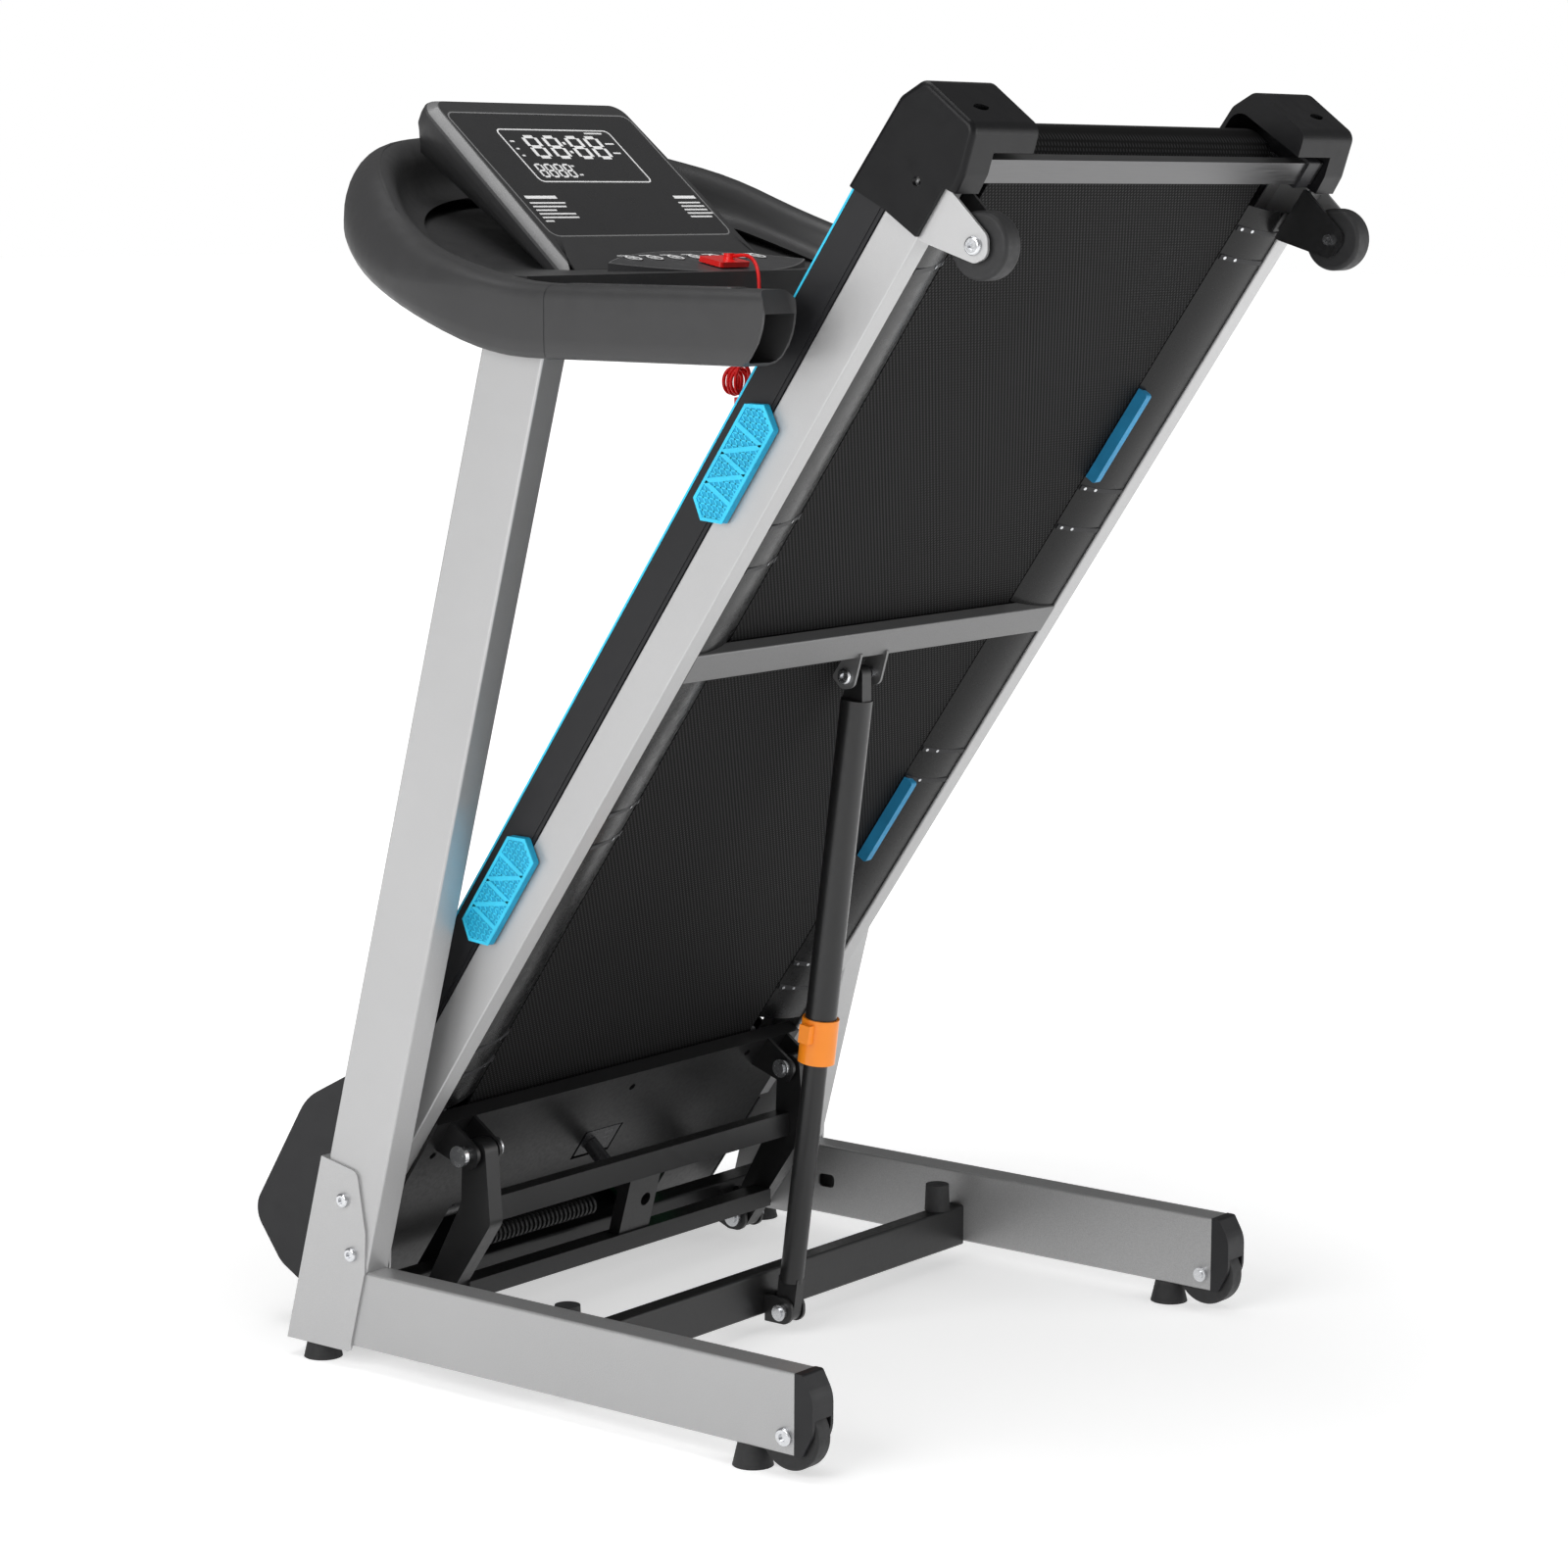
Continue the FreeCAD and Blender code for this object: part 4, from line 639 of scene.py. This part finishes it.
def arm_details(side):
    """Grip-sensor plate on the arm's top and the parting seam round the arm."""
    word = "left" if side < 0 else "right"
    plate = Shapes(rail_top(side))
    outline = rounded([(-318, 16.5), (-128, 16.5), (-128, 38.0), (-318, 38.0)], 7.0, 6)
    plate.plate(outline, -0.6, 0.9, 0.8)
    plate.band(inset(outline, -1.6), 1.0, -0.6, 0.25)
    plate.piece("grip_plate_" + word, "base", grip_plastic_highlit, "grey_plastic")
    way = (SEAM_Y - RING_END) / (RING_Y - RING_END)
    seam = Shapes(None)
    section = rail_section(way)
    for low, high in zip(section, section[1:]):
        corners = []
        for w, z in (low, high):
            lift_w = -0.18 if w < RAIL_MIDDLE else 0.18
            corners += [at(side * (RING_R - w - lift_w), SEAM_Y + shift, z + 0.18) for shift in (-0.35, 0.35)]
        start = len(seam.corners)
        seam.corners += corners
        seam.faces.append((start, start + 1, start + 3, start + 2))
    seam.piece("arm_seam_" + word, "base", FINISHES["black_plastic"], "black_plastic")


# The plate is the arm's grey plastic painted a little lighter: painted highlight; its smoother satin finish
# is real.
grip_plastic_highlit = moulded("grip_plate_satin", (0.052, 0.052, 0.053), 0.30, depth=0.05)
for side in (-1, 1):
    arm_details(side)


# ---------------------------------------------------------------- display
FACE_FOOT, FACE_HEAD = Vector((0, 42, 1028)), Vector((0, 230, 1186))
FACE_UP = (FACE_HEAD - FACE_FOOT).normalized()
FACE_OUT = Vector((0, -FACE_UP.z, FACE_UP.y))
FACE_LENGTH = (FACE_HEAD - FACE_FOOT).length


def on_face(x, slope, height):
    return at(*(FACE_FOOT + Vector((x, 0, 0)) + FACE_UP * slope + FACE_OUT * height))


def in_slab(x, slope, height):
    """Point of the display's casing, kept above the tray's underside and behind the back line."""
    place = FACE_FOOT + Vector((x, 0, 0)) + FACE_UP * slope + FACE_OUT * height
    return at(x, min(place.y, 252.0), max(place.z, 1012.0 + max(0.0, place.y - 60.0) * 0.30))


def slab_depth(slope):
    return along([(-20, 40), (62, 46), (122, 58), (222, 54), (246, 30)], slope)


def display_casing():
    """Rounded slab with a chamfered rim and a recess for the panel."""
    foot, head = -14, FACE_LENGTH + 3.5
    outer = rounded([(-156, foot), (156, foot), (146, head), (-146, head)], [4, 4, 26, 26], 8)
    panel = rounded([(-133.3, 43.7), (133.3, 43.7), (133.3, 222.3), (-133.3, 222.3)], 10.3, 8)
    rings = [(panel, -2.3), (panel, 0.0), (inset(outer, 10.5), 0.0), (inset(outer, 9.5), -0.5),
             (inset(outer, 1.5), -7.2), (outer, -9.5), (outer, -16.0), (inset(outer, 2.0), -26.0)]
    rings = [[in_slab(a, b, depth) for a, b in line] for line, depth in rings]
    for shrink, share in ((6.0, 0.72), (14.0, 0.93), (26.0, 1.0)):
        rings.append([in_slab(a, b, -slab_depth(b) * share) for a, b in inset(outer, shrink)])
    casing = Shapes(None).loft(rings)
    piece = casing.piece("display_casing", "base", FINISHES["grey_plastic"], "grey_plastic", 24.0)
    count = len(outer)
    # The chamfered rim is painted a much lighter grey than the casing: a painted highlight where the rim
    # faces the light.
    rim_highlight = moulded("display_rim_painted_highlight", (0.17, 0.17, 0.172), 0.28, depth=0.05)
    piece.data.materials.append(rim_highlight)
    for face in piece.data.polygons:
        if 3 * count <= face.index < 4 * count:
            face.material_index = 1
    return piece


casing = display_casing()
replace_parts(casing, "display_housing")

# White print that also glows faintly: the white is the print's own colour, the glow is painted light.
glowing_print = moulded("white_print_painted_glow", (0.80, 0.80, 0.80), 0.4, depth=0.05, Emission_Strength=0.12,
                  Emission_Color=(0.8, 0.8, 0.8, 1.0))
grey_print = moulded("grey_print", (0.22, 0.22, 0.222), 0.4, depth=0.05)


def seven_segment(shapes, x, slope, wide, tall, thick):
    """Figure eight of a seven-segment display, at its lower left corner."""
    mid = slope + tall / 2
    for y in (slope, mid, slope + tall):
        shapes.bar((x + thick * 0.55, y), (x + wide - thick * 0.55, y), thick, -0.1, 0.12)
    for side in (x, x + wide):
        for low in (slope, mid):
            shapes.bar((side, low + thick * 0.3), (side, low + tall / 2 - thick * 0.3), thick, -0.1, 0.12)


def display_marks():
    """Outline, digits and blank caption bars on the panel."""
    shapes = Shapes(on_face)
    shapes.band(rounded([(-83, 121), (83, 121), (83, 199.5), (-83, 199.5)], 7), 1.5, -0.2, 0.1)
    for x in (-53, -24, 9, 37):
        seven_segment(shapes, x, 158, 17.5, 30, 4.4)
    for slope in (166, 179):
        shapes.bar((-1.2, slope), (2.6, slope), 3.6, -0.1, 0.12)
    for i in range(4):
        seven_segment(shapes, -71 + 13.4 * i, 129, 8.8, 18, 2.3)
    for x, slope, long in ((44, 194.5, 26), (62, 179, 13), (62, 165, 11), (-19, 145, 4), (-17, 132, 5),
                           (-76, 181, 6), (-76, 170, 4), (-76, 160, 4)):
        shapes.bar((x, slope), (x + long, slope), 2.0, -0.1, 0.1)
    for left, widths in ((-125, (46, 52, 49, 30, 54, 54, 12)), (94, (34, 34, 36, 36, 40, 34))):
        for row, long in enumerate(widths):
            slope = 99 - 5.2 * row - (3.0 if row else 0.0)
            shapes.bar((left, slope), (left + long * 0.96, slope), 4.2 if row == 0 else 2.0, -0.1, 0.08)
    shapes.piece("display_marks", "base", glowing_print, "display_gloss")
    border = Shapes(on_face)
    frame_line = rounded([(-134.5, 42.5), (134.5, 42.5), (134.5, 223.5), (-134.5, 223.5)], 11.5)
    border.band(frame_line, 1.5, -0.2, 0.12)
    border.piece("display_border", "base", grey_print, "grey_plastic")


display_marks()


# ---------------------------------------------------------------- keys
KEYPAD_Y, KEYPAD_Z, KEYPAD_TILT = -4.0, 1032.4, math.radians(11.5)


def on_keypad(x, y, height):
    """Point above the leaning key panel; y is measured along it from its hinge line."""
    return at(x, KEYPAD_Y + y * math.cos(KEYPAD_TILT) - height * math.sin(KEYPAD_TILT),
              KEYPAD_Z + y * math.sin(KEYPAD_TILT) + height * math.cos(KEYPAD_TILT))


def oval(x, y, half_x, half_y, steps=24):
    return [(x + half_x * math.cos(t), y + half_y * math.sin(t))
            for t in (2 * math.pi * i / steps for i in range(steps))]


def lens_outline():
    """Raised rim round the leaning key panel."""
    half, top, low = 147.6, 42.4, -46.4
    points = []
    for low_or_top, sign in ((low, 1), (top, -1)):
        radius = (half * half + low_or_top * low_or_top) / (2 * abs(low_or_top))
        centre = low_or_top + sign * radius
        reach = math.asin(half / radius)
        for i in range(33):
            t = -reach + 2 * reach * i / 32
            points.append((sign * radius * math.sin(t), centre - sign * radius * math.cos(t)))
    return [p for i, p in enumerate(points) if i not in (32, 65)]


def key_marks():
    """White ring and blank caption on every key."""
    names = ["button_speed_down", "button_quick_speed", "button_mode", "button_stop", "button_program",
             "button_start", "button_speed_up"]
    for i, name in enumerate(names):
        x, y = 31.0 * (i - 3), 16.0
        shapes = Shapes(on_keypad)
        shapes.band(oval(x, y, 8.4, 8.4), 2.0, 0.75, 1.0)
        shapes.bar((x - 3.6, y + 1.8), (x + 3.6, y + 1.8), 2.2, 0.75, 1.0)
        shapes.bar((x - 2.6, y - 2.2), (x + 2.6, y - 2.2), 2.0, 0.75, 1.0)
        shapes.piece("mark_" + name, name, glowing_print, "key_plastic")
    captions = Shapes(on_keypad)
    for i in range(7):
        x = 31.0 * (i - 3)
        captions.bar((x - 8.0, 28.6), (x + 8.0, 28.6), 2.0, -0.1, 0.12)
    captions.piece("key_captions", "base", glowing_print, "key_plastic")
    rim = Shapes(on_keypad)
    rim.band(inset(lens_outline(), 0.2), 0.8, -0.2, 0.35)
    rim.piece("key_panel_rim", "base", grey_print, "key_plastic")


key_marks()


# ---------------------------------------------------------------- deck details
DECK_HALF = 298.4
PAD_U = (414.0, 899.5)
pad_cyan = rubber("blue_silicone_base", (0.010, 0.36, 0.60), 0.5)


def side_face(side, x_face):
    """Frame on the outer side of the deck: place(u, n, height)."""
    return lambda u, n, height: deck_at(side * (x_face + height), u, n)


def clipped(start, end, outline):
    """Part of a straight line inside a convex outline, or None."""
    low, high = 0.0, 1.0
    run = (end[0] - start[0], end[1] - start[1])
    for a, b in zip(outline, outline[1:] + outline[:1]):
        edge = (b[0] - a[0], b[1] - a[1])
        inward = (-edge[1], edge[0])
        gap = (start[0] - a[0]) * inward[0] + (start[1] - a[1]) * inward[1]
        speed = run[0] * inward[0] + run[1] * inward[1]
        if abs(speed) < 1e-9:
            if gap < 0:
                return None
            continue
        hit = -gap / speed
        if speed > 0:
            low = max(low, hit)
        else:
            high = min(high, hit)
    if high - low < 0.02:
        return None
    return tuple((start[0] + run[0] * t, start[1] + run[1] * t) for t in (low, high))


def pad_relief(side, middle):
    """Rim, zigzag ribs and a fine lattice on one hexagonal cushion."""
    shapes = Shapes(side_face(side, DECK_HALF + 7.8))
    outline = [(middle - 61.5, 47), (middle - 50, 26.6), (middle + 50, 26.6), (middle + 61.5, 47),
               (middle + 50, 64.4), (middle - 50, 64.4)]
    shapes.band(outline, 3.0, 0.0, 1.2)
    field = inset(outline, 2.6)
    for slant in (-1, 1):
        for i in range(-20, 21):
            start = (middle + i * 6.2 - slant * 14, 20.0)
            line = clipped(start, (start[0] + slant * 28, 70.0), field)
            if line:
                shapes.bar(*line, 1.3, 0.0, 0.7)
    ribs = [(middle - 31, 28.0), (middle - 31, 63.0), (middle, 28.0), (middle, 63.0), (middle + 31, 28.0),
            (middle + 31, 63.0)]
    for a, b in zip(ribs, ribs[1:]):
        shapes.bar(a, b, 4.2, 0.0, 1.15)
    return shapes


pale_cyan = rubber("blue_silicone_raised", (0.04, 0.60, 0.88), 0.42)


def cushions():
    """Hexagonal pads on both side covers, and the strips beside the belt on the right."""
    for side, word in ((-1, "left"), (1, "right")):
        pads = Shapes(side_face(side, DECK_HALF))
        for middle in PAD_U:
            outline = rounded([(middle - 62, 47), (middle - 50, 26), (middle + 50, 26), (middle + 62, 47),
                               (middle + 50, 65), (middle - 50, 65)], 3.0, 4)
            pads.plate(outline, 1.6, 8.0, 0.8)
        pads.piece("hex_pads_" + word, "deck", pad_cyan, "blue_silicone")
    strips = Shapes(lambda u, n, height: deck_at(height, u, n))
    for middle in (446.0, 925.0):
        outline = rounded([(middle - 52, 3.6), (middle + 52, 3.6), (middle + 52, 18.0), (middle - 52, 18.0)],
                          [3, 3, 1, 1], 4)
        strips.plate(outline, 218.2, 227.0, 0.3)
    deep = rubber("deep_blue_silicone", (0.018, 0.24, 0.46), 0.5)
    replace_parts(strips.piece("inner_strips", "deck", deep, "blue_silicone"), "deck_cushions")


cushions()
for side, word in ((-1, "left"), (1, "right")):
    for i, middle in enumerate(PAD_U):
        pad_relief(side, middle).piece("pad_relief_%s_%d" % (word, i + 1), "deck", pale_cyan, "blue_silicone")
    line = Shapes(side_face(side, DECK_HALF + 1.3))
    line.plate([(159, 75.6), (1165, 75.6), (1165, 77.5), (159, 77.5)], -1.6, 0.7)
    line.piece("trim_line_" + word, "deck", pale_cyan, "blue_silicone")


def under_cover(side):
    """Frame on the curved inner cover: place(u, share, height), share 0 at the belt, 1 at the rail."""
    def place(u, share, height):
        x = 217.5 + 58.5 * share
        n = 15.6 - 21.0 * share + 8.2 * share * share
        return deck_at(side * x, u, n - height)
    return place


def cover_clips(side):
    """Pairs of raised bands that hold the inner covers, each with bright pin heads."""
    bands, pins = Shapes(under_cover(side)), Shapes(under_cover(side))
    for u in (1161, 1129, 861, 814, 535, 497, 248, 215):
        start = len(bands.corners)
        rows = [[(u - 3.2, 0.0), (u - 2.4, 1.5), (u + 2.4, 1.5), (u + 3.2, 0.0)] for _ in range(9)]
        for k, row in enumerate(rows):
            bands.corners += [bands.place(a, k / 8 * 0.94 + 0.02, h) for a, h in row]
        for k in range(8):
            for i in range(4):
                j = (i + 1) % 4
                ring = start + k * 4
                bands.faces.append((ring + i, ring + j, ring + 4 + j, ring + 4 + i))
        bands.faces.append((start + 3, start + 2, start + 1, start))
        bands.faces.append(tuple(start + 32 + i for i in range(4)))
        for share in (0.10, 0.32):
            pins.plate(oval(u, share, 1.7, 0.028, 10), 1.3, 2.2)
    word = "left" if side < 0 else "right"
    bands.piece("cover_clips_" + word, "deck", FINISHES["black_plastic"], "black_plastic")
    pins.piece("cover_pins_" + word, "deck", FINISHES["zinc_hardware"], "zinc_hardware")


def painted_fork_shade(side):
    """Black plate on the inner cheek of a floor wheel's fork: painted shade, standing for the shade that
    falls on that cheek.
    """
    shapes = Shapes(side_face(side, DECK_HALF - 32.5))
    outline = rounded([(1160, -0.4), (1160, -5.0), (1178, -62.0), (1204, -62.0), (1214, -6.0), (1214, -0.4)],
                      [0.3, 2, 12, 12, 3, 0.3], 5)
    shapes.plate(outline[::-1] if side > 0 else outline, 0.0, 3.2)
    word = "left" if side < 0 else "right"
    shapes.piece("fork_shade_plate_" + word, "deck", FINISHES["black_steel"], "black_steel")


def lift_spring():
    """Return spring between the lift frame's left arm and its strap."""
    turns, steps, coil, wire = 27, 12, 9.0, 1.7
    left, pitch = -226.0, 6.3
    rings = []
    for i in range(turns * steps + 1):
        t = 2 * math.pi * i / steps
        spoke = Vector((0, math.cos(t), math.sin(t)))
        centre = Vector((left + pitch * i / steps, 100.0, 108.0)) + spoke * coil
        ring = [centre + (spoke * math.cos(a) + Vector((1, 0, 0)) * math.sin(a)) * wire
                for a in (math.pi / 3 * k for k in range(6))]
        rings.append([at(*p) for p in ring])
    spring = Shapes(None).loft(rings)
    spring.piece("lift_spring", "deck", FINISHES["black_steel"], "black_steel")


def tie_clip():
    """Black clip over the right-hand end of the rear tie bar."""
    shapes = Shapes(side_face(1, 238.0))
    outline = rounded([(1217.5, -5.5), (1246.5, -5.5), (1246.5, 7.5), (1217.5, 7.5)], 2.5, 4)
    shapes.plate(outline, 0.0, 20.0, 0.6)
    shapes.piece("tie_bar_clip", "deck", FINISHES["black_plastic"], "black_plastic")


lift_spring()
tie_clip()
for side in (-1, 1):
    cover_clips(side)
    painted_fork_shade(side)
